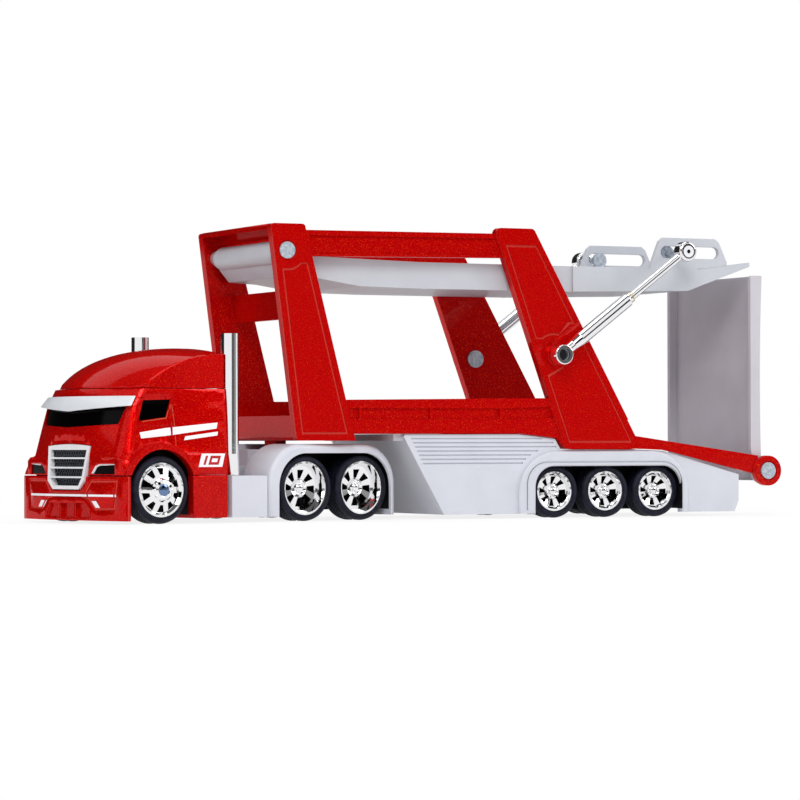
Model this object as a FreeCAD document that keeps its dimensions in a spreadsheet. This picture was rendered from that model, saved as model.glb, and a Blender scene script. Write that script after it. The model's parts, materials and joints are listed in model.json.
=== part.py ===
import FreeCAD, Part
import Sketcher
import math
import os

# Die-cast toy car transporter in millimetres: an articulated tractor, turned a little on its kingpin,
# and a two-deck trailer. +X runs rearwards along the trailer, +Y to the truck's right, +Z up.
# The origin is the middle of the footprint, on the ground. Every piece is drawn from the kingpin's
# axis and set by its Placement; tractor pieces are drawn straight ahead and turned by theirs.

SIZES = {
    # hitch
    "kingpin_x": -34.0,
    "kingpin_y": 3.0,
    "tractor_yaw": 13.04,
    "kingpin_radius": 1.5,
    "kingpin_boss_radius": 2.6,
    "running_gap": 0.05,
    "seat_gap": 0.2,
    # wheels and axles
    "steer_axle_x": -48.0,
    "drive_axle_front_x": -6.42,
    "drive_axle_rear_x": 10.47,
    "trailer_axle_front_x": 66.1,
    "trailer_axle_mid_x": 80.4,
    "trailer_axle_rear_x": 94.7,
    "tractor_tyre_radius": 7.8,
    "trailer_tyre_radius": 6.53,
    "tractor_wheel_out": 20.85,
    "trailer_wheel_out": 20.6,
    "steer_tyre_width": 6.0,
    "drive_tyre_width": 6.6,
    "trailer_tyre_width": 6.0,
    "steer_rim_radius": 6.25,
    "drive_rim_radius": 6.35,
    "trailer_rim_radius": 4.85,
    "axle_radius": 0.9,
    "rim_wall": 0.5,
    "rim_inset": 0.3,
    "face_thick": 0.9,
    "hub_depth": 2.0,
    "hub_mouth": 0.2,
    "hub_crown": 0.5,
    "hub_edge": 0.3,
    "hub_flare": 0.5,
    "axle_proud": 0.1,
    "steer_dish_rim": 0.5,
    "steer_dish_hub": -0.7,
    "steer_hub_radius": 2.3,
    "steer_lip_drop": 0.3,
    "steer_window_low": 3.45,
    "steer_window_high": 5.1,
    "steer_window_low_half": 0.4,
    "steer_window_high_half": 0.95,
    "steer_window_skew": 0.0,
    "drive_dish_rim": 2.2,
    "drive_dish_hub": 2.2,
    "drive_hub_radius": 1.75,
    "drive_lip_drop": 0.5,
    "drive_window_low": 2.3,
    "drive_window_high": 4.35,
    "drive_window_low_half": 0.4,
    "drive_window_high_half": 0.95,
    "drive_window_skew": 0.35,
    "trailer_dish_rim": 1.0,
    "trailer_dish_hub": 1.2,
    "trailer_hub_radius": 1.7,
    "trailer_lip_drop": 0.5,
    "trailer_window_low": 2.0,
    "trailer_window_high": 3.65,
    "trailer_window_low_half": 0.3,
    "trailer_window_high_half": 0.7,
    "trailer_window_skew": 0.3,
    "tyre_shoulder": 1.1,
    "shoulder_in": 0.44,
    "shoulder_drop": 0.275,
    "bead_step": 0.4,
    "bead_rise": 0.3,
    "bead_lean": 0.1,
    # trailer side frame
    "frame_out": 22.5,
    "frame_in": 20.0,
    "front_post_top_front_x": -10.9,
    "front_post_top_rear_x": -2.2,
    "front_post_foot_front_x": -4.3,
    "front_post_foot_rear_x": 11.0,
    "front_post_over_pin": 6.3,
    "front_post_foot_z": 19.05,
    "rear_post_top_front_x": 48.5,
    "rear_post_top_rear_x": 59.3,
    "rear_post_foot_front_x": 68.1,
    "rear_post_foot_rear_x": 89.3,
    "rear_post_over_pin": 6.7,
    "rear_post_foot_z": 16.9,
    "top_rail_front_over_pin": 4.9,
    "top_rail_rear_over_pin": 5.3,
    "top_rail_front_depth": 6.2,
    "top_rail_rear_depth": 5.9,
    "low_rail_top_front_z": 28.8,
    "low_rail_top_rear_z": 29.4,
    "low_rail_under_z": 20.75,
    "low_rail_drop_x": 55.5,
    "low_rail_end_x": 65.8,
    "low_rail_end_z": 19.6,
    "rail_setback": 0.5,
    "web_depth": 0.6,
    "web_under_top": 1.2,
    "web_over_foot": 0.6,
    "web_end_gap": 0.4,
    "bay_low_z": 24.15,
    "bay_high_z": 26.85,
    "bay_front_gap": 0.8,
    "bay_rear_gap": 0.6,
    "bay_rear_rise": 0.4,
    "rib_width": 0.7,
    "groove_width": 0.5,
    "groove_depth": 0.35,
    "panel_inset": 1.5,
    "panel_arc_radius": 4.35,
    "boss_arc_radius": 4.9,
    "panel_head_inset": 2.6,
    "panel_heel_rise": 6.2,
    "panel_heel_width": 1.2,
    "panel_step_run": 2.6,
    "panel_step_drop": 1.3,
    "panel_strut_gap": 1.55,
    "frame_round": 0.8,
    "post_head_round": 1.3,
    "post_foot_round": 1.9,
    "arm_in": 21.0,
    "arm_setback": 0.5,
    "arm_face_rise": 4.0,
    "arm_relief_gap": 1.5,
    "arm_top_front_z": 20.1,
    "arm_top_front_x": 88.0,
    "arm_top_rear_x": 123.8,
    "arm_top_rear_z": 15.1,
    "arm_under_front_x": 96.2,
    "arm_under_front_z": 16.6,
    "arm_under_rear_x": 122.4,
    "arm_under_rear_z": 10.6,
    "ramp_axis_x": 126.2,
    "ramp_axis_z": 11.3,
    "ramp_boss_radius": 3.8,
    "ramp_boss_proud": 0.4,
    "ramp_pin_radius": 2.1,
    "ramp_pin_recess": 2.5,
    # pivots
    "deck_axis_x": -6.6,
    "deck_axis_z": 64.1,
    "deck_pin_radius": 2.0,
    "deck_pin_recess": 2.45,
    "deck_pin_in": 15.0,
    "deck_pin_sunk": 0.15,
    "deck_pin_seat": 0.5,
    "strut_axis_x": 64.85,
    "strut_axis_z": 39.95,
    "strut_boss_radius": 2.8,
    "strut_boss_out": 24.4,
    "strut_pin_radius": 1.45,
    "strut_pin_out": 27.0,
    "strut_head_radius": 2.2,
    "strut_head_in": 19.45,
    "ramp_pin_proud": 0.5,
    "ramp_pin_inside": 0.3,
    "slot_pin_x": 99.9,
    "slot_pin_over_pivot": 1.8,
    "slot_over_pivot": 2.1,
    "slot_pin_radius": 0.8,
    "slot_head_radius": 1.95,
    "slot_head_thick": 0.8,
    # front cross members
    "cross_half": 20.0,
    "top_bar_thick": 1.4,
    "top_bar_depth": 6.9,
    "top_bar_lip": 1.6,
    "top_bar_lip_wide": 2.0,
    "top_bar_round": 0.6,
    "mid_bar_under_pin": 9.0,
    "mid_bar_height": 6.9,
    "mid_bar_front_x": -2.3,
    "mid_bar_thick": 1.5,
    "low_panel_top_z": 25.0,
    "low_panel_thick": 1.9,
    "low_panel_lean": 0.55,
    "neck_round": 0.9,
    "kingpin_boss_gap": 0.3,
    "kingpin_depth": 4.0,
    "neck_floor_z": 20.8,
    "neck_floor_top_z": 22.1,
    "neck_floor_end_x": 22.0,
    # grey lower body
    "skirt_out": 21.4,
    "skirt_in": 19.9,
    "lip_out": 22.2,
    "bulkhead_top_x": 24.6,
    "bulkhead_foot_x": 35.1,
    "bulkhead_thick": 1.6,
    "bulkhead_inset": 0.4,
    "bulkhead_toe": 0.1,
    "bulkhead_knee": 1.2,
    "skirt_foot_z": 1.1,
    "skirt_top_z": 20.6,
    "skirt_rear_x": 118.3,
    "skirt_rear_top_z": 10.4,
    "skirt_nose_run": 0.3,
    "skirt_nose_drop": 0.6,
    "skirt_heel_run": 1.2,
    "skirt_heel_rise": 2.8,
    "skirt_post_gap": 0.9,
    "floor_thick": 1.6,
    "floor_front_x": 22.2,
    "floor_low_z": 16.7,
    "floor_low_x": 67.8,
    "floor_low_under_x": 67.4,
    "floor_drop_run": 0.4,
    "floor_end_z": 12.0,
    "arch_outer_front_x": 55.3,
    "arch_outer_rear_x": 103.3,
    "arch_outer_top_z": 16.4,
    "arch_inner_front_x": 57.4,
    "arch_inner_rear_x": 101.3,
    "arch_inner_top_z": 13.8,
    "lip_inner_front_x": 59.9,
    "lip_inner_top_z": 12.7,
    "lip_corner": 10.5,
    "lip_inner_corner": 5.2,
    "lip_round": 0.45,
    "lip_grip": 0.4,
    "arch_corner": 5.5,
    "louvre_top_z": 19.3,
    "louvre_pitch": 1.0,
    "louvre_height": 0.35,
    "louvre_depth": 0.3,
    "louvre_start_gap": 0.9,
    "bogie_half": 12.4,
    "bogie_low_z": 2.4,
    "bogie_reach": 3.5,
    "bogie_foot_reach": 1.5,
    "bogie_foot_rise": 2.0,
    "bogie_tail_drop": 3.2,
    "bogie_top_inset": 2.4,
    # upper deck
    "deck_front_half": 18.6,
    "deck_rear_half": 19.2,
    "deck_tail_half": 19.0,
    "deck_wall": 1.3,
    "deck_floor": 1.3,
    "deck_under_depth": 8.3,
    "deck_belly_front_x": 3.0,
    "deck_belly_front_rise": 2.0,
    "deck_belly_mid_x": 14.0,
    "deck_belly_mid_rise": 0.3,
    "deck_belly_rear_x": 30.0,
    "deck_head_run": 2.0,
    "deck_head_rise": 0.2,
    "deck_head_toe": 0.6,
    "deck_head_toe_drop": 3.0,
    "deck_head_drop": 5.9,
    "deck_wall_start_x": 2.0,
    "deck_wall_lead": 5.0,
    "deck_wall_lead_rise": 1.0,
    "deck_wall_mid_rise": 0.1,
    "deck_toe_run": 3.0,
    "deck_toe_start": 1.0,
    "deck_toe_end": 7.0,
    "deck_toe_depth": 12.0,
    "deck_wall_front_drop": 1.1,
    "deck_wall_rear_drop": 2.0,
    "deck_step_x": 72.0,
    "deck_tail_x": 105.0,
    "deck_tail_drop": 7.5,
    "deck_tail_slope": 0.35,
    "deck_knuckle_x": 108.0,
    "deck_tip_x": 123.2,
    "deck_tip_thick": 1.1,
    "tray_front_run": 4.6,
    "tray_front_drop": 4.4,
    "tray_tip_run": 2.5,
    "tray_tip_drop": 0.6,
    "tray_end_drop": 0.2,
    "tray_bend_shift": 0.2,
    "nose_roll_radius": 2.9,
    "nose_half": 17.4,
    "nose_drop": 0.3,
    "nose_bridge_run": 4.0,
    "nose_bridge_rise": 0.9,
    "nose_bridge_drop": 5.0,
    "nose_bridge_skin": 0.05,
    "nose_end_taper": 1.6,
    "bracket_thick": 1.4,
    "bracket_foot_front_x": 94.1,
    "bracket_top_front_x": 96.8,
    "bracket_top_rear_x": 114.1,
    "bracket_heel_x": 116.4,
    "bracket_over_pivot": 5.7,
    "bracket_chamfer_run": 1.2,
    "bracket_chamfer_drop": 0.9,
    "bracket_heel_high": 1.9,
    "bracket_heel_low": 1.2,
    "bracket_toe_rise": 0.1,
    "slot_front_x": 98.6,
    "slot_rear_x": 114.0,
    "slot_radius": 1.5,
    # struts
    "strut_line": 26.3,
    "strut_eye_radius": 2.45,
    "strut_eye_half": 1.7,
    "strut_ball_radius": 2.5,
    "strut_ball_bore": 0.6,
    "strut_ball_round": 0.7,
    "strut_eye_round": 0.3,
    "strut_ball_proud": 0.1,
    "barrel_radius": 1.35,
    "barrel_end_radius": 1.7,
    "barrel_length": 24.0,
    "barrel_start": 0.5,
    "barrel_neck_end": 4.0,
    "barrel_cone_end": 6.5,
    "barrel_cap_start": 1.0,
    "barrel_cap_end": 0.6,
    "barrel_cap_drop": 0.4,
    "rod_end_gap": 0.5,
    "rod_radius": 1.0,
    # ramp
    "ramp_half": 20.7,
    "ramp_flange_in": 19.5,
    "ramp_face_front_x": 122.4,
    "ramp_floor_x": 124.6,
    "ramp_back_x": 125.4,
    "ramp_top_z": 60.7,
    "ramp_ear_radius": 3.4,
    "ramp_under_axis": 2.5,
    "ramp_mid_z": 37.0,
    "ramp_foot_z": 14.0,
    "ramp_bow": 0.25,
    "ramp_top_lean": 0.35,
    "ramp_floor_low_lean": 0.2,
    "ramp_floor_top_lean": 0.5,
    "ramp_lip_drop": 0.6,
    "cheek_foot_z": 16.0,
    "cheek_front_foot_z": 16.6,
    "cheek_seat": 0.25,
    "cheek_top_seat": 0.4,
    "cheek_round": 0.7,
    "cheek_round_mid": 0.2,
    "cheek_toe_run": 0.8,
    "cheek_toe_rise": 1.5,
    "cheek_heel_rise": 1.0,
    # tractor chassis
    "chassis_half": 9.0,
    "chassis_front_x": -57.9,
    "chassis_rear_x": 17.0,
    "chassis_low_z": 2.4,
    "chassis_top_z": 13.0,
    "chassis_tail_run": 4.0,
    "chassis_tail_drop": 3.0,
    "cab_floor_gap": 0.4,
    "turret_top_z": 17.0,
    "turret_front_x": -12.0,
    "turret_rear_x": 12.0,
    "turret_shoulder_front_x": -4.0,
    "turret_shoulder_rear_x": 8.0,
    "turret_end_half": 5.0,
    "turret_half": 9.0,
    "kingpin_hole_depth": 5.0,
    "box_front_x": -28.4,
    "box_rear_x": -18.2,
    "box_top_z": 10.9,
    "box_foot_z": 1.2,
    "box_out": 21.2,
    "fender_front_x": -17.8,
    "fender_rear_x": 20.1,
    "fender_top_z": 18.3,
    "fender_out": 21.6,
    "fender_in": 11.0,
    "fender_arch_front_x": -15.0,
    "fender_arch_rear_x": 18.6,
    "fender_arch_top_z": 16.1,
    "fender_corner": 9.5,
    "fender_arch_corner": 8.0,
    "fender_round": 1.2,
    "fender_web_margin": 0.5,
    "fender_web_height": 7.5,
    "fender_web_corner": 6.0,
    # cab
    "cab_wall": 1.1,
    "cab_rear_x": -29.4,
    "cab_foot_z": 11.2,
    "cab_head_z": 31.1,
    "block_rear_x": -50.5,
    "lamp_seat_x": -57.4,
    "lamp_crown_x": -59.95,
    "lamp_thick": 4.0,
    "lamp_corner_x": -58.2,
    "lamp_corner_half": 19.0,
    "door_line_depth": 0.25,
    "roof_half": 19.3,
    "roof_wall": 1.2,
    "roof_side_wall": 0.5,
    "steer_arch_radius": 9.3,
    "steer_lip_radius": 10.7,
    "steer_lip_out": 21.3,
    "steer_lip_depth": 1.8,
    "steer_arch_depth": 8.3,
    "side_window_depth": 4.3,
    "screen_rear_x": -51.5,
    "grille_hole_rear_x": -58.0,
    "niche_top_z": 18.1,
    "grille_top_z": 17.9,
    "cab_below_depth": 16.0,
    "glass_gap": 0.05,
    "glass_sunk": 0.3,
    "glass_thick": 1.0,
    "glass_rear_x": -43.0,
    "screen_pane_rear_x": -53.4,
    "side_pane_rear_x": -40.0,
    "bumper_half": 21.65,
    "bumper_corner_x": -58.1,
    "bumper_nose_x": -60.5,
    "bumper_foot_z": 0.75,
    "bumper_top_z": 10.95,
    "bumper_thick": 1.8,
    "bumper_end_run": 0.9,
    "bumper_end_wall": 1.2,
    "bumper_notch_depth": 3.0,
    "intake_depth": 1.1,
    "skirt_front_x": -39.3,
    "skirt_back_x": -29.6,
    "skirt_half": 21.3,
    "cab_skirt_gap": 0.1,
    "cab_skirt_lean": 0.2,
    "stack_x": -27.03,
    "stack_y": 18.4,
    "stack_radius": 2.1,
    "stack_bore": 1.6,
    "stack_top_z": 44.1,
    "stack_bend_z": 16.0,
    "stack_mouth_depth": 4.0,
    "visor_thick": 0.8,
    "visor_low_z": 25.9,
    "visor_low_nose_x": -60.0,
    "visor_low_end_x": -56.5,
    "visor_low_end_half": 18.77,
    "visor_top_z": 29.4,
    "visor_top_nose_x": -58.7,
    "visor_top_end_x": -53.85,
    "visor_top_end_half": 17.7,
    "grille_front_x": -60.75,
    "grille_back_x": -58.9,
    "mesh_thick": 0.35,
    "grille_gap": 0.15,
    "niche_margin": 0.7,
    "niche_floor_x": -59.6,
    "grille_crown": 0.45,
    "grille_lean": 1.1,
    "grille_lean_foot_z": 10.0,
    "grille_lean_top_z": 18.6,
    "grille_band": 0.95,
    "grille_bar": 0.4,
    "mesh_inset": 0.1,
}

LEFT = -1
RIGHT = 1
SIDES = {"left": LEFT, "right": RIGHT}

# how far a cut reaches past the material it opens
REACH = 2.0
# how far the pieces of one body run into each other, and where there is little room
OVERLAP = 0.5
GRIP = 0.05
# distances and lengths taken as none
TOUCH = 1e-4
# a plane ahead of the truck and heights and a half-width beyond the cab, where its cuts start and end
AHEAD_X = -64.0
BEHIND_X = -20.0
BESIDE = 24.0
UNDER_Z = 0.0
OVER_Z = 46.0

doc = FreeCAD.newDocument("car_transporter")
sheet = doc.addObject("Spreadsheet::Sheet", "dims")
for row, (alias, value) in enumerate(SIZES.items(), 1):
    sheet.set(f"A{row}", alias)
    sheet.set(f"B{row}", str(value))
    sheet.setAlias(f"B{row}", alias)
doc.recompute()


class Size:
    """A length or angle with the sheet formula that drives it."""

    def __init__(self, value, formula, driven=True):
        self.value = float(value)
        self.formula = formula
        self.driven = driven

    def _join(self, other, sign, value):
        other = as_size(other)
        return Size(value, f"({self.formula} {sign} {other.formula})", self.driven or other.driven)

    def __add__(self, other):
        return self._join(other, "+", self.value + as_size(other).value)

    def __radd__(self, other):
        return as_size(other) + self

    def __sub__(self, other):
        return self._join(other, "-", self.value - as_size(other).value)

    def __rsub__(self, other):
        return as_size(other) - self

    def __mul__(self, other):
        return self._join(other, "*", self.value * as_size(other).value)

    def __rmul__(self, other):
        return as_size(other) * self

    def __truediv__(self, other):
        return self._join(other, "/", self.value / as_size(other).value)

    def __neg__(self):
        return Size(-self.value, f"(0 - {self.formula})", self.driven)


def as_size(number):
    """Turn a plain number into a Size, and leave a Size alone."""
    if isinstance(number, Size):
        return number
    return Size(number, f"({float(number)!r})", driven=False)


def dim(alias):
    """The driving dimension with this alias."""
    return Size(SIZES[alias], f"dims.{alias}")


def bind(obj, prop, length):
    """Set a property of an object from a Size and keep it bound to the sheet."""
    length = as_size(length)
    setattr(obj, prop, length.value)
    if length.driven:
        obj.setExpression(prop, length.formula)


def check(condition, message):
    """Stop the build with a message when a condition does not hold."""
    if not condition:
        raise RuntimeError(message)


def new_body(name):
    """Start a sub-part as a PartDesign body named after its node, drawn from the kingpin's axis."""
    body = new_tool(name)
    place_body(body, as_size(0), as_size(0), as_size(0))
    return body


def new_tool(name):
    """Start a body that is only used to cut another one, in that one's own frame."""
    body = doc.addObject("PartDesign::Body", name)
    body.Label = name
    body.AllowCompound = True
    return body


def place_body(body, x, y, z, axis=(0, 0, 1), angle=0.0):
    """Place a body by where its own origin lies from the kingpin's axis, and its turn in degrees."""
    angle = as_size(angle)
    base = {"x": dim("kingpin_x") + x, "y": dim("kingpin_y") + y, "z": as_size(z)}
    body.Placement = FreeCAD.Placement(
        FreeCAD.Vector(*[length.value for length in base.values()]),
        FreeCAD.Rotation(FreeCAD.Vector(*axis), angle.value),
    )
    for letter, length in base.items():
        if length.driven:
            body.setExpression(f"Placement.Base.{letter}", length.formula)
    if angle.driven:
        body.setExpression("Placement.Rotation.Angle", angle.formula)


def origin_plane(body, role):
    """The body's own XY, XZ or YZ plane, or one of its axes."""
    for feature in body.Origin.OriginFeatures:
        if feature.Role == role:
            return feature
    raise RuntimeError(f"{body.Label} has no {role}")


def add_sketch(body, name, plane, offset, loops):
    """Draw closed loops on one of the body's planes, every point driven by its coordinates.

    A loop is a list of points (x, y), or (x, y, middle) where the edge that starts
    there is an arc through the point middle; a circle is ("circle", x, y, radius).
    """
    sketch = body.newObject("Sketcher::SketchObject", f"{body.Name}_{name}")
    sketch.AttachmentSupport = [(origin_plane(body, f"{plane}_Plane"), "")]
    sketch.MapMode = "FlatFace"
    offset = as_size(offset)
    sketch.AttachmentOffset = FreeCAD.Placement(FreeCAD.Vector(0, 0, offset.value), FreeCAD.Rotation())
    if offset.driven:
        sketch.setExpression("AttachmentOffset.Base.z", offset.formula)
    rules = []
    drivers = []

    def place(geometry, position, point):
        along = ("DistanceX", -2, as_size(point[0]))
        across_it = ("DistanceY", -1, as_size(point[1]))
        for kind, axis, value in (along, across_it):
            if value.value == 0:
                rules.append(Sketcher.Constraint("PointOnObject", geometry, position, axis))
                drivers.append(None)
            else:
                rules.append(Sketcher.Constraint(kind, -1, 1, geometry, position, value.value))
                drivers.append(value)

    for loop in loops:
        if loop[0] == "circle":
            centre_x, centre_y, radius = [as_size(item) for item in loop[1:]]
            centre = FreeCAD.Vector(centre_x.value, centre_y.value, 0)
            index = sketch.addGeometry(Part.Circle(centre, FreeCAD.Vector(0, 0, 1), radius.value), False)
            place(index, 3, (centre_x, centre_y))
            rules.append(Sketcher.Constraint("Radius", index, radius.value))
            drivers.append(radius)
            continue
        points = [FreeCAD.Vector(as_size(item[0]).value, as_size(item[1]).value, 0) for item in loop]
        edges = []
        for number, item in enumerate(loop):
            start = points[number]
            end = points[(number + 1) % len(loop)]
            if len(item) == 3:
                middle = FreeCAD.Vector(as_size(item[2][0]).value, as_size(item[2][1]).value, 0)
                index = sketch.addGeometry(Part.Arc(start, middle, end), False)
                crest = sketch.addGeometry(Part.Point(middle), True)
                place(crest, 1, item[2])
                rules.append(Sketcher.Constraint("PointOnObject", crest, 1, index))
                drivers.append(None)
            else:
                index = sketch.addGeometry(Part.LineSegment(start, end), False)
            first = 1 if (sketch.getPoint(index, 1) - start).Length < TOUCH else 2
            edges.append((index, first, 3 - first))
        for number, (index, first, last) in enumerate(edges):
            following = edges[(number + 1) % len(edges)]
            rules.append(Sketcher.Constraint("Coincident", index, last, following[0], following[1]))
            drivers.append(None)
            place(index, first, loop[number])
    sketch.addConstraint(rules)
    for number, driver in enumerate(drivers):
        if driver is not None and driver.driven:
            sketch.setExpression(f"Constraints[{number}]", driver.formula)
    return sketch


def volume(body):
    """Volume of the body's present shape, zero before its first feature."""
    return 0.0 if body.Shape.isNull() else body.Shape.Volume


def finish_feature(body, feature, grows):
    """Recompute and check that a feature has added or taken material as it should."""
    before = volume(body)
    body.Tip = feature
    doc.recompute()
    after = volume(body)
    moved = after > before + TOUCH if grows else after < before - TOUCH
    check(moved, f"{feature.Name} left the volume of {body.Label} at {after}, was {before}")
    return feature


def pad(body, sketch, length, reverse=False):
    """Extrude a sketch along its plane's normal, or against it."""
    feature = body.newObject("PartDesign::Pad", f"{sketch.Name}_pad")
    feature.Profile = sketch
    bind(feature, "Length", length)
    feature.Reversed = reverse
    return finish_feature(body, feature, True)


def pocket(body, sketch, depth, reverse=False):
    """Cut a sketch into the body against its plane's normal, or along it."""
    feature = body.newObject("PartDesign::Pocket", f"{sketch.Name}_pocket")
    feature.Profile = sketch
    bind(feature, "Length", depth)
    feature.Reversed = reverse
    return finish_feature(body, feature, False)


def revolve(body, sketch, axis="H_Axis", cut=False):
    """Turn a sketch fully about one of its axes, adding or grooving material."""
    kind = "PartDesign::Groove" if cut else "PartDesign::Revolution"
    feature = body.newObject(kind, f"{sketch.Name}_turn")
    feature.Profile = sketch
    feature.ReferenceAxis = (sketch, [axis])
    feature.Angle = 360.0
    return finish_feature(body, feature, not cut)


def loft(body, sketches, ruled=True, cut=False):
    """Loft through sketches, adding or taking material."""
    kind = "PartDesign::SubtractiveLoft" if cut else "PartDesign::AdditiveLoft"
    feature = body.newObject(kind, f"{sketches[0].Name}_loft")
    feature.Profile = sketches[0]
    feature.Sections = sketches[1:]
    feature.Ruled = ruled
    return finish_feature(body, feature, not cut)


def round_edges(body, radius, chosen):
    """Fillet the edges of the body for which chosen(edge) holds."""
    base = body.Tip
    names = [f"Edge{number}" for number, edge in enumerate(base.Shape.Edges, 1) if chosen(edge)]
    check(names, f"no edge found to round on {body.Label}")
    feature = body.newObject("PartDesign::Fillet", f"{body.Name}_round")
    feature.Base = (base, names)
    bind(feature, "Radius", radius)
    body.Tip = feature
    doc.recompute()
    check(feature.isValid(), f"rounding failed on {body.Label}")
    return feature


def polar(body, feature, sketch, count):
    """Repeat a feature evenly about a sketch's normal."""
    pattern = body.newObject("PartDesign::PolarPattern", f"{feature.Name}_ring")
    pattern.Originals = [feature]
    pattern.Axis = (sketch, ["N_Axis"])
    pattern.Angle = 360
    pattern.Occurrences = count
    body.Tip = pattern
    doc.recompute()
    return pattern


def across(points):
    """Pick edges that run along Y through one of these (x, z) points, given as numbers."""
    def chosen(edge):
        if len(edge.Vertexes) != 2:
            return False
        ends = [vertex.Point for vertex in edge.Vertexes]
        if math.hypot(ends[0].x - ends[1].x, ends[0].z - ends[1].z) > TOUCH:
            return False
        return any(math.hypot(ends[0].x - x, ends[0].z - z) < GRIP for x, z in points)
    return chosen


def on_outside(edge, out):
    """Whether an edge lies in an outside face, this far off the middle plane."""
    return all(abs(abs(vertex.Point.y) - out) < TOUCH for vertex in edge.Vertexes)


def middle_of(edge):
    """The middle point of an edge."""
    return edge.valueAt((edge.FirstParameter + edge.LastParameter) / 2)


def side_sketch(body, name, side, out, loops):
    """Sketch on a plane parallel to the trailer's side, out from the middle plane."""
    out = as_size(out)
    offset = out if side == LEFT else -out
    return add_sketch(body, name, "XZ", offset, loops)


def pad_out(body, name, side, start, end, loops):
    """Pad loops in the side view from one distance off the middle plane to a larger one."""
    sketch = side_sketch(body, name, side, start, loops)
    return pad(body, sketch, as_size(end) - as_size(start), reverse=side == RIGHT)


def cut_in(body, name, side, start, depth, loops):
    """Cut loops in the side view inwards, from a distance off the middle plane."""
    sketch = side_sketch(body, name, side, start, loops)
    return pocket(body, sketch, depth, reverse=side == RIGHT)


def pad_middle(body, name, half, loops):
    """Pad loops in the side view evenly about the middle plane."""
    half = as_size(half)
    sketch = add_sketch(body, name, "XZ", -half, loops)
    return pad(body, sketch, half * 2)


def cut_middle(body, name, half, loops):
    """Cut loops in the side view evenly about the middle plane."""
    half = as_size(half)
    sketch = add_sketch(body, name, "XZ", half, loops)
    return pocket(body, sketch, half * 2)


def box_loop(x_low, y_low, x_high, y_high):
    """A rectangle as a loop."""
    return [(x_low, y_low), (x_high, y_low), (x_high, y_high), (x_low, y_high)]


def turn_with_tractor(body):
    """Turn a tractor piece about the kingpin by the hitch angle."""
    place_body(body, 0, 0, 0, angle=dim("tractor_yaw"))


def put_on_axle(body, axle_x, radius, on_tractor):
    """Place a wheel piece, drawn about its own axis, on its axle."""
    if not on_tractor:
        place_body(body, axle_x, 0, radius)
        return
    yaw = dim("tractor_yaw")
    turn = math.radians(yaw.value)
    along = Size(math.cos(turn), f"cos({yaw.formula} * 1 deg)")
    aside = Size(math.sin(turn), f"sin({yaw.formula} * 1 deg)")
    place_body(body, axle_x * along, axle_x * aside, radius, angle=yaw)


# Heights that follow the deck's pivot


def over_pivot(height):
    """A height measured from the axis of the deck's pivot."""
    return dim("deck_axis_z") + height


def front_post_top_z():
    """Top of the front posts."""
    return over_pivot(dim("front_post_over_pin"))


def rear_post_top_z():
    """Top of the rear posts."""
    return over_pivot(dim("rear_post_over_pin"))


def top_rail_zs():
    """Top rail: its top at the front and the rear, then its underside at the front and the rear."""
    top_front = over_pivot(dim("top_rail_front_over_pin"))
    top_rear = over_pivot(dim("top_rail_rear_over_pin"))
    under_front = top_front - dim("top_rail_front_depth")
    under_rear = top_rear - dim("top_rail_rear_depth")
    return top_front, top_rear, under_front, under_rear


def slot_pin_z():
    """Height of the struts' upper pins."""
    return over_pivot(dim("slot_pin_over_pivot"))


def slot_z():
    """Height of the middle line of the brackets' slots."""
    return over_pivot(dim("slot_over_pivot"))


def deck_wall_zs():
    """Top of the deck's side walls at the front and the rear."""
    return over_pivot(-dim("deck_wall_front_drop")), over_pivot(-dim("deck_wall_rear_drop"))


# Trailer side frames


def on_line(start, end, z):
    """The x of the straight line from start to end at height z."""
    (x_one, z_one), (x_two, z_two) = start, end
    return x_one + (x_two - x_one) * ((z - z_one) / (z_two - z_one))


def frame_corners():
    """The named corners of the side frame in the side view."""
    return {
        "front_top_front": (dim("front_post_top_front_x"), front_post_top_z()),
        "front_top_rear": (dim("front_post_top_rear_x"), front_post_top_z()),
        "front_foot_rear": (dim("front_post_foot_rear_x"), dim("front_post_foot_z")),
        "front_foot_front": (dim("front_post_foot_front_x"), dim("front_post_foot_z")),
        "rear_top_front": (dim("rear_post_top_front_x"), rear_post_top_z()),
        "rear_top_rear": (dim("rear_post_top_rear_x"), rear_post_top_z()),
        "rear_foot_rear": (dim("rear_post_foot_rear_x"), dim("rear_post_foot_z")),
        "rear_foot_front": (dim("rear_post_foot_front_x"), dim("rear_post_foot_z")),
    }


def frame_outline(corner):
    """Outer loop of a side frame, posts, rails and rear arm in one."""
    rail_front_z, rail_rear_z, _, _ = top_rail_zs()
    rail_front_x = on_line(corner["front_top_rear"], corner["front_foot_rear"], rail_front_z)
    rail_rear_x = on_line(corner["rear_top_front"], corner["rear_foot_front"], rail_rear_z)
    under_x = on_line(corner["front_top_rear"], corner["front_foot_rear"], dim("low_rail_under_z"))
    return [
        corner["front_top_front"],
        corner["front_top_rear"],
        (rail_front_x, rail_front_z),
        (rail_rear_x, rail_rear_z),
        corner["rear_top_front"],
        corner["rear_top_rear"],
        (dim("arm_top_front_x"), dim("arm_top_front_z")),
        (dim("arm_top_rear_x"), dim("arm_top_rear_z")),
        (dim("arm_under_rear_x"), dim("arm_under_rear_z")),
        (dim("arm_under_front_x"), dim("arm_under_front_z")),
        corner["rear_foot_rear"],
        corner["rear_foot_front"],
        (dim("low_rail_end_x"), dim("low_rail_end_z")),
        (dim("low_rail_drop_x"), dim("low_rail_under_z")),
        (under_x, dim("low_rail_under_z")),
        corner["front_foot_rear"],
        corner["front_foot_front"],
    ]


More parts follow.
